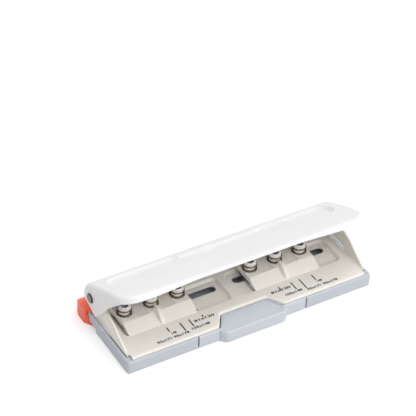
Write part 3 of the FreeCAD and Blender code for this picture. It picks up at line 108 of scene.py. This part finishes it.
def add_node(tree, kind, **inputs):
    node = tree.nodes.new(kind)
    for key, value in inputs.items():
        node.inputs[key.replace("_", " ")].default_value = value
    return node


def place_node(tree, stretch=(1, 1, 1), shift=(0, 0, 0)):
    """Position in metres, scaled along each axis and then shifted."""
    coordinates = tree.nodes.new("ShaderNodeTexCoord")
    mapping = tree.nodes.new("ShaderNodeMapping")
    mapping.inputs["Scale"].default_value = stretch
    mapping.inputs["Location"].default_value = shift
    tree.links.new(coordinates.outputs["Object"], mapping.inputs["Vector"])
    return mapping.outputs["Vector"]


def noise(tree, place, size, detail=2.0, roughness=0.5):
    """Noise whose cells are about size across."""
    node = add_node(tree, "ShaderNodeTexNoise", Scale=1 / size, Detail=detail, Roughness=roughness)
    tree.links.new(place, node.inputs["Vector"])
    return node.outputs["Fac"]


def ramp(tree, value, low, high, start=0.0, end=1.0):
    """value mapped from start..end to low..high."""
    node = tree.nodes.new("ShaderNodeMapRange")
    node.inputs["From Min"].default_value = start
    node.inputs["From Max"].default_value = end
    node.inputs["To Min"].default_value = low
    node.inputs["To Max"].default_value = high
    tree.links.new(value, node.inputs["Value"])
    return node.outputs["Result"]


def mix_colours(tree, share, first, second):
    """Colour between first and second, each a fixed colour or another node's output."""
    node = tree.nodes.new("ShaderNodeMix")
    node.data_type = "RGBA"
    for socket, colour in ((node.inputs[6], first), (node.inputs[7], second)):
        if isinstance(colour, tuple):
            socket.default_value = colour
        else:
            tree.links.new(colour, socket)
    tree.links.new(share, node.inputs[0])
    return node.outputs[2]


def shade(colour, factor):
    return tuple(channel * factor for channel in colour[:3]) + (1,)


def mottle(tree, share, colour, factors):
    """The colour, from the first factor of its strength to the second by share."""
    first, second = factors
    return mix_colours(tree, share, shade(colour, first), shade(colour, second))


def roughen(tree, shader, share, gloss, spread):
    """Roughness around gloss, from the spread's first end to its second by share."""
    first, second = spread
    tree.links.new(ramp(tree, share, gloss + first, gloss + second), shader.inputs["Roughness"])


def bump(tree, shader, height, distance, strength):
    node = add_node(tree, "ShaderNodeBump", Strength=strength, Distance=distance)
    tree.links.new(height, node.inputs["Height"])
    tree.links.new(node.outputs["Normal"], shader.inputs["Normal"])


PAINT_CLOUD = 35 * MM
PAINT_GRAIN = 0.25 * MM
PAINT_TONES = (0.965, 1.02)
PAINT_SPECK_TONE = 0.9
PAINT_SPECK_GRAIN = (0.62, 0.8)
PAINT_SPREAD = (-0.04, 0.05)
PAINT_COAT = 0.15
PAINT_COAT_ROUGHNESS = 0.25


def powder_paint(name, colour, gloss, peel=0.9 * MM, depth=0.012 * MM):
    """Powder coat: a fine orange peel, a faint unevenness of colour and gloss."""
    material, tree, shader = new_material(name)
    place = place_node(tree)
    cloud = noise(tree, place, PAINT_CLOUD, detail=3.0)
    grain = noise(tree, place, PAINT_GRAIN, detail=1.0)
    tone = mottle(tree, cloud, colour, PAINT_TONES)
    specks = ramp(tree, grain, 0.0, 1.0, *PAINT_SPECK_GRAIN)
    specked = mix_colours(tree, specks, tone, shade(colour, PAINT_SPECK_TONE))
    tree.links.new(specked, shader.inputs["Base Color"])
    roughen(tree, shader, cloud, gloss, PAINT_SPREAD)
    bump(tree, shader, noise(tree, place, peel), depth, strength=0.5)
    shader.inputs["Coat Weight"].default_value = PAINT_COAT
    shader.inputs["Coat Roughness"].default_value = PAINT_COAT_ROUGHNESS
    return material


FLOW_SIZE = 14 * MM
FLOW_STRETCH = (0.25, 1, 1)
FLOW_TONES = (0.96, 1.03)
PLASTIC_SPREAD = (-0.06, 0.08)
PLASTIC_IOR = 1.49
PLASTIC_SCATTER = 0.04
PLASTIC_SCATTER_REACH = (2.0 * MM, 1.5 * MM, 1.0 * MM)
PLASTIC_COAT_ROUGHNESS = 0.18


def moulded_plastic(name, colour, gloss, texture=0.35 * MM, depth=0.02 * MM, coat=0.0):
    """Moulded plastic with a spark-eroded texture and faint flow marks."""
    material, tree, shader = new_material(name)
    place = place_node(tree)
    flow = noise(tree, place_node(tree, FLOW_STRETCH), FLOW_SIZE)
    fine = noise(tree, place, texture, detail=1.0)
    tree.links.new(mottle(tree, flow, colour, FLOW_TONES), shader.inputs["Base Color"])
    roughen(tree, shader, fine, gloss, PLASTIC_SPREAD)
    bump(tree, shader, fine, depth, strength=0.35)
    shader.inputs["IOR"].default_value = PLASTIC_IOR
    shader.inputs["Subsurface Weight"].default_value = PLASTIC_SCATTER
    shader.inputs["Subsurface Radius"].default_value = PLASTIC_SCATTER_REACH
    shader.inputs["Coat Weight"].default_value = coat
    shader.inputs["Coat Roughness"].default_value = PLASTIC_COAT_ROUGHNESS
    return material


LINE_SIZE = 0.3 * MM
LINE_DEPTH = 0.006 * MM
LINE_SPREAD = (-0.08, 0.12)
STAIN_SIZE = 6 * MM
STAIN_CLOUD = (0.35, 0.7)
SCRATCH_LINES = (0.55, 0.8)
SCRATCH_TONE = 0.8


def drawn_metal(name, colour, gloss, stretch, stain=0.85):
    """Metal with fine lines along one axis and a faint stain."""
    material, tree, shader = new_material(name)
    lines = noise(tree, place_node(tree, stretch), LINE_SIZE, detail=3.0, roughness=0.6)
    cloud = noise(tree, place_node(tree), STAIN_SIZE, detail=3.0)
    tone = mottle(tree, ramp(tree, cloud, 0.0, 1.0, *STAIN_CLOUD), colour, (stain, 1.0))
    scratches = ramp(tree, lines, 0.0, 1.0, *SCRATCH_LINES)
    scratched = mix_colours(tree, scratches, tone, shade(colour, SCRATCH_TONE))
    tree.links.new(scratched, shader.inputs["Base Color"])
    shader.inputs["Metallic"].default_value = 1.0
    roughen(tree, shader, lines, gloss, LINE_SPREAD)
    bump(tree, shader, lines, LINE_DEPTH, strength=0.4)
    return material


def math_node(tree, operation, *values):
    """Math node over fixed numbers and other nodes' outputs."""
    node = tree.nodes.new("ShaderNodeMath")
    node.operation = operation
    for socket, value in zip(node.inputs, values):
        if isinstance(value, float):
            socket.default_value = value
        else:
            tree.links.new(value, socket)
    return node.outputs[0]


def turned_rings(tree, reach, size):
    """Fine rings round an axis, from the distance to it."""
    rings = tree.nodes.new("ShaderNodeTexNoise")
    rings.noise_dimensions = "1D"
    rings.inputs["Scale"].default_value = 1 / size
    tree.links.new(reach, rings.inputs["W"])
    return rings.outputs["Fac"]


PIN_RING_SIZE = 0.3 * MM
PIN_CLOUD = 1.2 * MM
PIN_TONES = (1.0, 0.85)
REFLECTION_TONES = (0.6, 1.6)
NECK_TONES = (0.97, 1.0)
PIN_ROUGHNESS = (0.2, 0.34)
PIN_RING_DEPTH = 0.015 * MM


def pin_finish(side):
    """Pin white like its moulded sleeve and bare steel under the neck. The dark core of the head, with
    lighter flecks, is a painted reflection of the handle's underside. Where the white runs down the shank
    into the shaded bore under the sleeve, it is also painted light.
    """
    material, tree, shader = new_material("pin_steel_" + side)
    split = tree.nodes.new("ShaderNodeSeparateXYZ")
    tree.links.new(place_node(tree), split.inputs[0])
    x, y, z = split.outputs
    along = math_node(tree, "SUBTRACT", x, CARRIAGE_X[side])
    along = math_node(tree, "WRAP", along, HOLE_PITCH / 2, -HOLE_PITCH / 2)
    across = math_node(tree, "SUBTRACT", y, PUNCH_Y)
    squares = [math_node(tree, "MULTIPLY", value, value) for value in (along, across)]
    reach = math_node(tree, "SQRT", math_node(tree, "ADD", *squares))
    inside = math_node(tree, "LESS_THAN", reach, HEAD_REFLECTION_R)
    reflection_mask = math_node(tree, "MULTIPLY", inside, math_node(tree, "GREATER_THAN", z, HEAD_REFLECTION_Z))
    metal = math_node(tree, "MAXIMUM", reflection_mask, math_node(tree, "LESS_THAN", z, NECK_LOW_Z))
    rings = turned_rings(tree, reach, PIN_RING_SIZE)
    cloud = noise(tree, place_node(tree), PIN_CLOUD)
    steel = mottle(tree, rings, PIN_STEEL, PIN_TONES)
    # Painted reflection of the handle's underside in the head's core
    painted_reflection = mottle(tree, cloud, HEAD_REFLECTION_DARK, REFLECTION_TONES)
    # White like the sleeve; in the shaded bore under the sleeve it is also painted light
    white = mottle(tree, cloud, SLEEVE_WHITE, NECK_TONES)
    bright = mix_colours(tree, metal, white, steel)
    tree.links.new(mix_colours(tree, reflection_mask, bright, painted_reflection), shader.inputs["Base Color"])
    tree.links.new(metal, shader.inputs["Metallic"])
    tree.links.new(ramp(tree, rings, *PIN_ROUGHNESS), shader.inputs["Roughness"])
    bump(tree, shader, rings, PIN_RING_DEPTH, strength=0.5)
    return material


RIVET_RING_SIZE = 0.25 * MM
RIVET_CLOUD = 1.5 * MM
RIVET_TONES = (0.7, 1.2)
# Painted shade at the rivet heads' rims, where the gap round each head lies
RIVET_RIM = (0.78 * HINGE_HEAD_R, 0.97 * HINGE_HEAD_R)
RIVET_RIM_SHADE_TONE = 0.25
RIVET_SPREAD = (-0.08, 0.1)
RIVET_RING_DEPTH = 0.01 * MM


def turned_metal(name, colour, gloss):
    """Rivet head with fine turned rings and painted shade towards its rim, where a gap runs round the
    head.
    """
    material, tree, shader = new_material(name)
    across = place_node(tree, stretch=(0, 1, 1), shift=(0, -HINGE_Y, -HINGE_Z))
    length = tree.nodes.new("ShaderNodeVectorMath")
    length.operation = "LENGTH"
    tree.links.new(across, length.inputs[0])
    reach = length.outputs["Value"]
    rings = turned_rings(tree, reach, RIVET_RING_SIZE)
    cloud = noise(tree, place_node(tree), RIVET_CLOUD, detail=3.0)
    stained = mottle(tree, cloud, colour, RIVET_TONES)
    rim = ramp(tree, reach, 0.0, 1.0, *RIVET_RIM)
    rim_shaded = mix_colours(tree, rim, stained, shade(colour, RIVET_RIM_SHADE_TONE))
    tree.links.new(rim_shaded, shader.inputs["Base Color"])
    shader.inputs["Metallic"].default_value = 1.0
    roughen(tree, shader, rings, gloss, RIVET_SPREAD)
    bump(tree, shader, rings, RIVET_RING_DEPTH, strength=0.5)
    return material


lid_paint = powder_paint("lid_paint", LID_WHITE, 0.38)
deck_paint = powder_paint("deck_paint", DECK_CREAM, 0.42)
# The rolled edges' white is a painted highlight of light through the slots under the cheeks
bead_highlight_paint = powder_paint("bead_highlight_paint", LID_WHITE, 0.42)
block_paint = powder_paint("block_paint", BLOCK_CREAM, 0.45, peel=1.2 * MM, depth=0.02 * MM)
tray_plastic = moulded_plastic("tray_plastic", TRAY_GREY, 0.5)
tab_plastic = moulded_plastic("tab_plastic", TAB_GREY, 0.5)
panel_plastic = moulded_plastic("panel_plastic", PANEL_GREY, 0.62, texture=0.2 * MM)
orange_plastic = moulded_plastic("orange_plastic", ORANGE, 0.36, coat=0.3)
bar_steel = drawn_metal("bar_steel", STEEL, 0.36, (0.03, 1, 1))
die_steel = drawn_metal("die_steel", STEEL, 0.33, (0.05, 1, 1))
rivet_steel = turned_metal("rivet_steel", RIVET_STEEL, 0.34)
screw_steel = drawn_metal("screw_steel", shade(STEEL, 0.9), 0.33, (1, 0.2, 0.2))
pin_steel = {side: pin_finish(side) for side in SIDES}
wire_steel = drawn_metal("wire_steel", WIRE_BROWN, 0.32, (0.3, 0.3, 1), stain=0.6)
sleeve_plastic = moulded_plastic("sleeve_plastic", SLEEVE_WHITE, 0.4, texture=0.25 * MM, depth=0.01 * MM)

INK_CLOUD = 0.3 * MM
INK_TONES = (1.0, 3.0)
INK_ROUGHNESS = 0.6
INK_SPECULAR = 0.12

ink_and_shadow, ink_tree, ink_shader = new_material("ink_and_shadow")
ink_cloud = noise(ink_tree, place_node(ink_tree), INK_CLOUD)
ink_tree.links.new(mottle(ink_tree, ink_cloud, PRINT_AND_SHADOW_BLACK, INK_TONES), ink_shader.inputs["Base Color"])
ink_shader.inputs["Roughness"].default_value = INK_ROUGHNESS
ink_shader.inputs["Specular IOR Level"].default_value = INK_SPECULAR

FINISHES = {
    "chip_tray": tray_plastic, "tray_latch": tab_plastic, "base_deck": deck_paint,
    "left_hinge_pin": rivet_steel, "right_hinge_pin": rivet_steel,
    "handle_cover": lid_paint, "press_bar": bar_steel,
    "lock_slide": die_steel, "lock_knob": orange_plastic,
    "paper_guide": orange_plastic, "guide_washer": screw_steel,
}
for side in SIDES:
    FINISHES[side + "_die_plate"] = die_steel
    FINISHES[side + "_punch_block"] = block_paint
    FINISHES[side + "_keeper_plate"] = die_steel
    FINISHES[side + "_slot_screws"] = screw_steel
    for number in (1, 2, 3):
        FINISHES[side + "_pin_" + str(number)] = pin_steel[side]
        FINISHES[side + "_sleeve_" + str(number)] = sleeve_plastic
        FINISHES[side + "_spring_" + str(number)] = wire_steel

for name, material in FINISHES.items():
    mesh = nodes[name].data
    mesh.materials.clear()
    mesh.materials.append(material)


# Pieces

def link_object(name, data):
    made = bpy.data.objects.new(name, data)
    bpy.context.scene.collection.objects.link(made)
    return made


def add_object(name, mesh, material, body):
    """Piece that rides on a body of the part."""
    piece = link_object(name, mesh)
    mesh.materials.append(material)
    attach(piece, body)
    return piece


def finish_mesh(name, made):
    mesh = bpy.data.meshes.new(name)
    made.to_mesh(mesh)
    made.free()
    return mesh


def skin_mesh(name, sections):
    """Closed smooth skin over closed sections, with flat ends."""
    made = bmesh.new()
    rings = [[made.verts.new(point) for point in section] for section in sections]
    for first, second in zip(rings, rings[1:]):
        for i in range(len(first)):
            j = (i + 1) % len(first)
            made.faces.new((first[i], first[j], second[j], second[i]))
    made.faces.new(rings[0])
    made.faces.new(list(reversed(rings[-1])))
    bmesh.ops.recalc_face_normals(made, faces=made.faces)
    mesh = finish_mesh(name, made)
    for polygon in mesh.polygons:
        polygon.use_smooth = True
    return mesh


# Springs of the punch pins; the wires start at the angles given, in degrees
SPRING_WIRE_R = 0.4 * MM
SPRING_MEAN_R = 4.45 * MM
SPRING_LOW_Z = 13.03 * MM
SPRING_HIGH_Z = 18.87 * MM
SPRING_TURNS = 2.5
SPRING_END_TURNS = 0.9
SPRING_END_PITCH = 1.35 * MM
SPRING_STARTS = {"left": (200.0, 235.0, 195.0), "right": (190.0, 205.0, 240.0)}
SPRING_STEPS = 48
SLOPE_STEP = 0.01
WIRE_SIDES = 12


def spring_height(turn):
    """Height of the wire's middle: close turns at both ends, open ones between them."""
    extra = SPRING_HIGH_Z - SPRING_LOW_Z - SPRING_END_PITCH * SPRING_TURNS
    share = (turn - SPRING_END_TURNS) / (SPRING_TURNS - 2 * SPRING_END_TURNS)
    share = min(max(share, 0.0), 1.0)
    return SPRING_LOW_Z + SPRING_END_PITCH * turn + extra * share * share * (3 - 2 * share)


def spring_mesh(name, x, start):
    """Coil of round wire."""
    rings = []
    for i in range(int(SPRING_TURNS * SPRING_STEPS) + 1):
        turn = i / SPRING_STEPS
        angle = start + 2 * math.pi * turn
        out = Vector((math.cos(angle), math.sin(angle), 0))
        climb = spring_height(turn + SLOPE_STEP) - spring_height(turn - SLOPE_STEP)
        slope = climb / (2 * SLOPE_STEP * 2 * math.pi * SPRING_MEAN_R)
        up = Vector((math.sin(angle) * slope, -math.cos(angle) * slope, 1)).normalized()
        middle = Vector((x, PUNCH_Y, spring_height(turn))) + out * SPRING_MEAN_R
        ring = []
        for j in range(WIRE_SIDES):
            lean = 2 * math.pi * j / WIRE_SIDES
            ring.append(middle + (out * math.cos(lean) + up * math.sin(lean)) * SPRING_WIRE_R)
        rings.append(ring)
    return skin_mesh(name, rings)


for side in SIDES:
    for i, start in enumerate(SPRING_STARTS[side]):
        number = str(i + 1)
        x = CARRIAGE_X[side] + (i - 1) * HOLE_PITCH
        name = side + "_coil_" + number
        coil = add_object(name, spring_mesh(name, x, math.radians(start)),
                          wire_steel, side + "_carriage")
        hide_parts(side + "_spring_" + number)
        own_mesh(coil)


# Rounded noses over the pointer fins of the two blocks: y, crest height and half width, in millimetres
NOSE_CREST = [
    (1.55, 17.4, 0.9), (1.3, 18.0, 1.2), (0.4, 18.3, 1.5), (-1.5, 18.2, 1.7), (-4.0, 17.4, 1.75),
    (-6.5, 15.9, 1.7), (-8.4, 13.9, 1.6), (-9.6, 12.0, 1.5), (-10.1, 10.9, 1.4),
]
BLOCK_TOP = (-1.5, 14.9)
BLOCK_TOE = (-10.2, 10.6)
NOSE_SINK = 0.4
NOSE_STEPS = 20
NOSE_FULLNESS = 0.6


def block_height(y):
    """Height of the block's outside at y, in millimetres like the nose's list."""
    share = min(max((BLOCK_TOP[0] - y) / (BLOCK_TOP[0] - BLOCK_TOE[0]), 0.0), 1.0)
    return BLOCK_TOP[1] + share * (BLOCK_TOE[1] - BLOCK_TOP[1])


def nose_mesh(name, x):
    """Skin over the crest, round across, with flat ends and foot."""
    sections = []
    for y, crest, half in NOSE_CREST:
        low = block_height(y) - NOSE_SINK
        section = []
        for i in range(NOSE_STEPS + 1):
            angle = math.pi * i / NOSE_STEPS
            height = low + (crest - low) * math.sin(angle) ** NOSE_FULLNESS
            section.append((x + half * MM * math.cos(angle), y * MM, height * MM))
        sections.append(section)
    return skin_mesh(name, sections)


for side in SIDES:
    name = side + "_pointer_nose"
    add_object(name, nose_mesh(name, CARRIAGE_X[side]), block_paint, side + "_carriage")


# Rolled edge of the deck along the foot of each cheek, painted white instead of the deck's cream as a
# painted highlight of the light that comes in through the slot under the cheek
SKIRT_DROP = 4.0 * MM
POCKET_DEPTH = 2.0 * MM
DECK_TOP_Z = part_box("base_deck")[0].z + SKIRT_DROP
BEAD_X = 86.2 * MM
BEAD_HALF = 0.95 * MM
BEAD_RISE = 0.85 * MM
BEAD_ENDS = (-2.3 * MM, 15.8 * MM)
BEAD_NOSE = 0.9 * MM
BEAD_TAPER = [(0, 0.3), (1 / 3, 0.75), (1, 1.0)]
BEAD_STEPS = 12
BEAD_SINK = 0.1 * MM


def bead_mesh(name, x):
    """Half-round bead that runs out at both ends."""
    front, rear = BEAD_ENDS
    offsets = [(share, reach * BEAD_NOSE) for reach, share in BEAD_TAPER]
    stations = [(front + offset, share) for share, offset in offsets]
    stations += [(rear - offset, share) for share, offset in reversed(offsets)]
    sections = []
    for y, share in stations:
        section = []
        for i in range(BEAD_STEPS + 1):
            angle = math.pi * i / BEAD_STEPS
            rise = BEAD_RISE * share * math.sin(angle) - BEAD_SINK
            section.append((x + BEAD_HALF * share * math.cos(angle), y, DECK_TOP_Z + rise))
        sections.append(section)
    return skin_mesh(name, sections)


for side, sign in zip(SIDES, (-1, 1)):
    name = side + "_rolled_edge"
    add_object(name, bead_mesh(name, sign * BEAD_X), bead_highlight_paint, "base")


# Printed scale marks on the deck. In millimetres: the front ticks' x and front end, and the place and
# width of each row of numbers.
TICK_BACK_Y = -13.25 * MM
TICK_WIDTH = 0.85 * MM
INK_RISE = 0.03 * MM
FRONT_TICKS = {
    -54.0: -17.6, -44.5: -21.6, -38.0: -20.3, -28.5: -15.6,
    28.5: -16.9, 38.0: -20.8, 44.5: -22.7, 54.0: -18.8,
}
REAR_TICK_X = 10.0 * MM
REAR_TICK = (21.9 * MM, 25.7 * MM)
NUMBER_HEIGHT = 1.9 * MM
INK_SPREAD = 0.1 * MM
FIGURE_HEIGHT_SHARE = 0.73  # of the font's size
FIGURE_STEPS = 3
TICK_END_STEPS = 6
FRONT_NUMBERS = [
    ("148", -52.2, -19.6, 3.4), ("95x171 95x178", -54.5, -23.2, 23.0),
    ("105x148", -34.2, -21.9, 13.0), ("81x120", -28.5, -16.6, 14.5),
    ("81x120", 28.5, -16.6, 14.5), ("105x148", 34.6, -22.4, 12.5),
    ("95x171 95x178", 55.5, -24.3, 23.0), ("148", 55.6, -20.3, 3.6),
]
REAR_NUMBERS = ("105x148", 2.5 * MM, 25.5 * MM, 12.0 * MM)


def ink_and_shadow_shape(name, corners, height):
    """Flat shape just above a surface, for print and for the painted shadow in the left pocket."""
    made = bmesh.new()
    made.faces.new([made.verts.new((x, y, height + INK_RISE)) for x, y in corners])
    add_object(name, finish_mesh(name, made), ink_and_shadow, "base")


def ink_bar(name, x, y0, y1):
    """Printed line with round ends."""
    half = TICK_WIDTH / 2
    corners = []
    for middle_y, first in ((y1 - half, 0.0), (y0 + half, math.pi)):
        for i in range(TICK_END_STEPS + 1):
            angle = first + math.pi * i / TICK_END_STEPS
            corners.append((x + half * math.cos(angle), middle_y + half * math.sin(angle)))
    ink_and_shadow_shape(name, corners, DECK_TOP_Z)


def ink_text(name, figures, x, y, width, turn):
    """Printed numbers, centred on a point and fitted to a width."""
    curve = bpy.data.curves.new(name, "FONT")
    curve.body = figures
    curve.size = NUMBER_HEIGHT / FIGURE_HEIGHT_SHARE
    curve.align_x = "CENTER"
    curve.align_y = "CENTER"
    curve.offset = INK_SPREAD
    curve.resolution_u = FIGURE_STEPS
    piece = link_object(name, curve)
    bpy.context.view_layer.update()
    piece.scale.x = width / piece.dimensions.x
    piece.location = (x, y, DECK_TOP_Z + INK_RISE)
    piece.rotation_euler.z = turn
    bpy.context.view_layer.update()
    mesh = bpy.data.meshes.new_from_object(piece.evaluated_get(bpy.context.evaluated_depsgraph_get()))
    mesh.transform(piece.matrix_world)
    bpy.data.objects.remove(piece)
    mesh.materials.clear()
    add_object(name, mesh, ink_and_shadow, "base")


for i, (x, y) in enumerate(FRONT_TICKS.items()):
    ink_bar("tick_" + str(i + 1), x * MM, y * MM, TICK_BACK_Y)
ink_bar("tick_rear", REAR_TICK_X, *REAR_TICK)
for i, (figures, x, y, width) in enumerate(FRONT_NUMBERS):
    ink_text("numbers_" + str(i + 1), figures, x * MM, y * MM, width * MM, 0.0)
ink_text("numbers_rear", *REAR_NUMBERS, math.pi)


# Small marks, in millimetres: a painted shadow in the left pocket, in the corner by the right end of the
# left block, and a printed dot at the rear of the deck
POCKET_FLOOR_Z = DECK_TOP_Z - POCKET_DEPTH
POCKET_SHADOW_CORNERS = [(-27.4, -5.0), (-29.0, -7.6), (-27.3, -6.8)]
REAR_DOT = (74.0, 24.5)
DOT_R = 0.6
DOT_STEPS = 16
turns = [2 * math.pi * i / DOT_STEPS for i in range(DOT_STEPS)]
dot = [(REAR_DOT[0] + DOT_R * math.cos(turn), REAR_DOT[1] + DOT_R * math.sin(turn)) for turn in turns]
ink_and_shadow_shape("pocket_painted_shadow", [(x * MM, y * MM) for x, y in POCKET_SHADOW_CORNERS], POCKET_FLOOR_Z)
ink_and_shadow_shape("mark_rear", [(x * MM, y * MM) for x, y in dot], DECK_TOP_Z)


# Inlay in the thumb tab's top, its corners in millimetres
INLAY_TOP_Z = 8.5 * MM
INLAY_LOW_Z = 8.36 * MM
INLAY_CORNER_R = 1.3 * MM
INLAY_EDGE_R = 0.06 * MM
INLAY_CORNERS = [(20.3, -31.55), (22.4, -28.98), (15.55, -19.9)]
INLAY_CORNER_STEPS = 6
INLAY_EDGE_STEPS = 2
ROUND = 0.5


def tab_inlay():
    """Thin finely textured plate with rounded corners and a soft edge."""
    corners = INLAY_CORNERS + [(-x, y) for x, y in reversed(INLAY_CORNERS)]
    made = bmesh.new()
    verts = [made.verts.new((x * MM, y * MM, INLAY_LOW_Z)) for x, y in corners]
    made.faces.new(verts)
    bmesh.ops.bevel(made, geom=verts, offset=INLAY_CORNER_R, segments=INLAY_CORNER_STEPS,
                    profile=ROUND, affect="VERTICES")
    lifted = bmesh.ops.extrude_face_region(made, geom=made.faces[:])
    top = [item for item in lifted["geom"] if isinstance(item, bmesh.types.BMVert)]
    bmesh.ops.translate(made, vec=(0, 0, INLAY_TOP_Z - INLAY_LOW_Z), verts=top)
    bmesh.ops.recalc_face_normals(made, faces=made.faces)
    middle_z = (INLAY_LOW_Z + INLAY_TOP_Z) / 2
    rim = [edge for edge in made.edges if all(vert.co.z > middle_z for vert in edge.verts)]
    bmesh.ops.bevel(made, geom=rim, offset=INLAY_EDGE_R, segments=INLAY_EDGE_STEPS,
                    profile=ROUND, affect="EDGES")
    add_object("tab_inlay", finish_mesh("tab_inlay", made), panel_plastic, "latch")


tab_inlay()


# Camera
azimuth = math.radians(CAMERA_AZIMUTH)
elevation = math.radians(CAMERA_ELEVATION)
roll = math.radians(CAMERA_ROLL)
backward = Vector((math.sin(azimuth) * math.cos(elevation), -math.cos(azimuth) * math.cos(elevation),
                   math.sin(elevation)))
level = (-backward).cross(Vector((0, 0, 1))).normalized()
upright = level.cross(-backward)
right = level * math.cos(roll) + upright * math.sin(roll)
up = upright * math.cos(roll) - level * math.sin(roll)
metres_per_px = CAMERA_DISTANCE / CAMERA_FOCAL_PX
eye = CAMERA_AIM + backward * CAMERA_DISTANCE
eye -= right * CAMERA_SIDE_PX * metres_per_px + up * CAMERA_RISE_PX * metres_per_px
camera_data = bpy.data.cameras.new("camera")
camera_data.sensor_width = SENSOR
camera_data.lens = CAMERA_FOCAL_PX * SENSOR / PHOTO_PX
camera_data.clip_start, camera_data.clip_end = CAMERA_CLIP
camera = link_object("camera", camera_data)
camera.matrix_world = Matrix.Translation(eye) @ Matrix((right, up, backward)).transposed().to_4x4()
bpy.context.scene.camera = camera


# Floor and light
FLOOR_GLOW = 0.3
FLOOR_HALF = 3.0
FLOOR_TONES = ((0.79, 0.79, 0.79, 1), (0.81, 0.81, 0.81, 1))
FLOOR_CLOUD = 0.4
FLOOR_ROUGHNESS = 0.9
FLOOR_SPECULAR = 0.1
WORLD_STRENGTH = 0.56
WHITE = (1, 1, 1, 1)
# Name, place, aim, size, watts, colour
LAMPS = [
    ("key", (-0.1, -0.1, 1.7), (0, 0, 0), (1.4, 1.4), 8.0, (0.99, 0.98, 1.0)),
    ("front", (0.6, -1.2, 0.62), (0, 0, 0.02), (1.0, 0.3), 5.4, (1.0, 0.99, 0.975)),
    ("high_front", (0.1, -0.9, 1.25), (0, 0, 0.02), (1.0, 0.4), 4.2, (1.0, 0.99, 0.98)),
    ("side", (1.5, 0.25, 0.32), (0, 0, 0.02), (0.7, 0.4), 3, (1.0, 0.99, 0.98)),
    ("rear", (0.4, 1.5, 1.2), (0, 0, 0.02), (1.4, 0.8), 4.4, (0.96, 0.975, 1.0)),
]


def floor_plane():
    mesh = bpy.data.meshes.new("floor")
    corners = [(x * FLOOR_HALF, y * FLOOR_HALF, 0) for x, y in ((-1, -1), (1, -1), (1, 1), (-1, 1))]
    mesh.from_pydata(corners, [], [(0, 1, 2, 3)])
    floor = link_object("floor", mesh)
    material, tree, shader = new_material("floor_white")
    cloud = noise(tree, place_node(tree), FLOOR_CLOUD)
    tree.links.new(mix_colours(tree, cloud, *FLOOR_TONES), shader.inputs["Base Color"])
    shader.inputs["Roughness"].default_value = FLOOR_ROUGHNESS
    shader.inputs["Specular IOR Level"].default_value = FLOOR_SPECULAR
    shader.inputs["Emission Color"].default_value = WHITE
    camera_rays = tree.nodes.new("ShaderNodeLightPath").outputs["Is Camera Ray"]
    tree.links.new(ramp(tree, camera_rays, 0.0, FLOOR_GLOW), shader.inputs["Emission Strength"])
    mesh.materials.append(material)


def area_lamp(name, place, aim, size, watts, colour):
    data = bpy.data.lights.new(name, "AREA")
    data.shape = "RECTANGLE"
    data.size, data.size_y = size
    data.energy = watts
    data.color = colour
    lamp = link_object(name, data)
    lamp.location = place
    lamp.rotation_euler = (Vector(aim) - Vector(place)).to_track_quat("-Z", "Y").to_euler()


floor_plane()
for lamp_row in LAMPS:
    area_lamp(*lamp_row)

# White surroundings at full strength where they are seen, weaker as light on the punch
world = bpy.data.worlds.new("studio")
bpy.context.scene.world = world
world.use_nodes = True
sky = world.node_tree
sky_shader = sky.nodes["Background"]
rays = sky.nodes.new("ShaderNodeLightPath").outputs
seen = math_node(sky, "MAXIMUM", rays["Is Camera Ray"], rays["Is Glossy Ray"])
seen = math_node(sky, "MAXIMUM", seen, rays["Is Transmission Ray"])
sky.links.new(ramp(sky, seen, WORLD_STRENGTH, 1.0), sky_shader.inputs["Strength"])
sky_shader.inputs["Color"].default_value = WHITE

bpy.context.scene.view_settings.view_transform = "Standard"
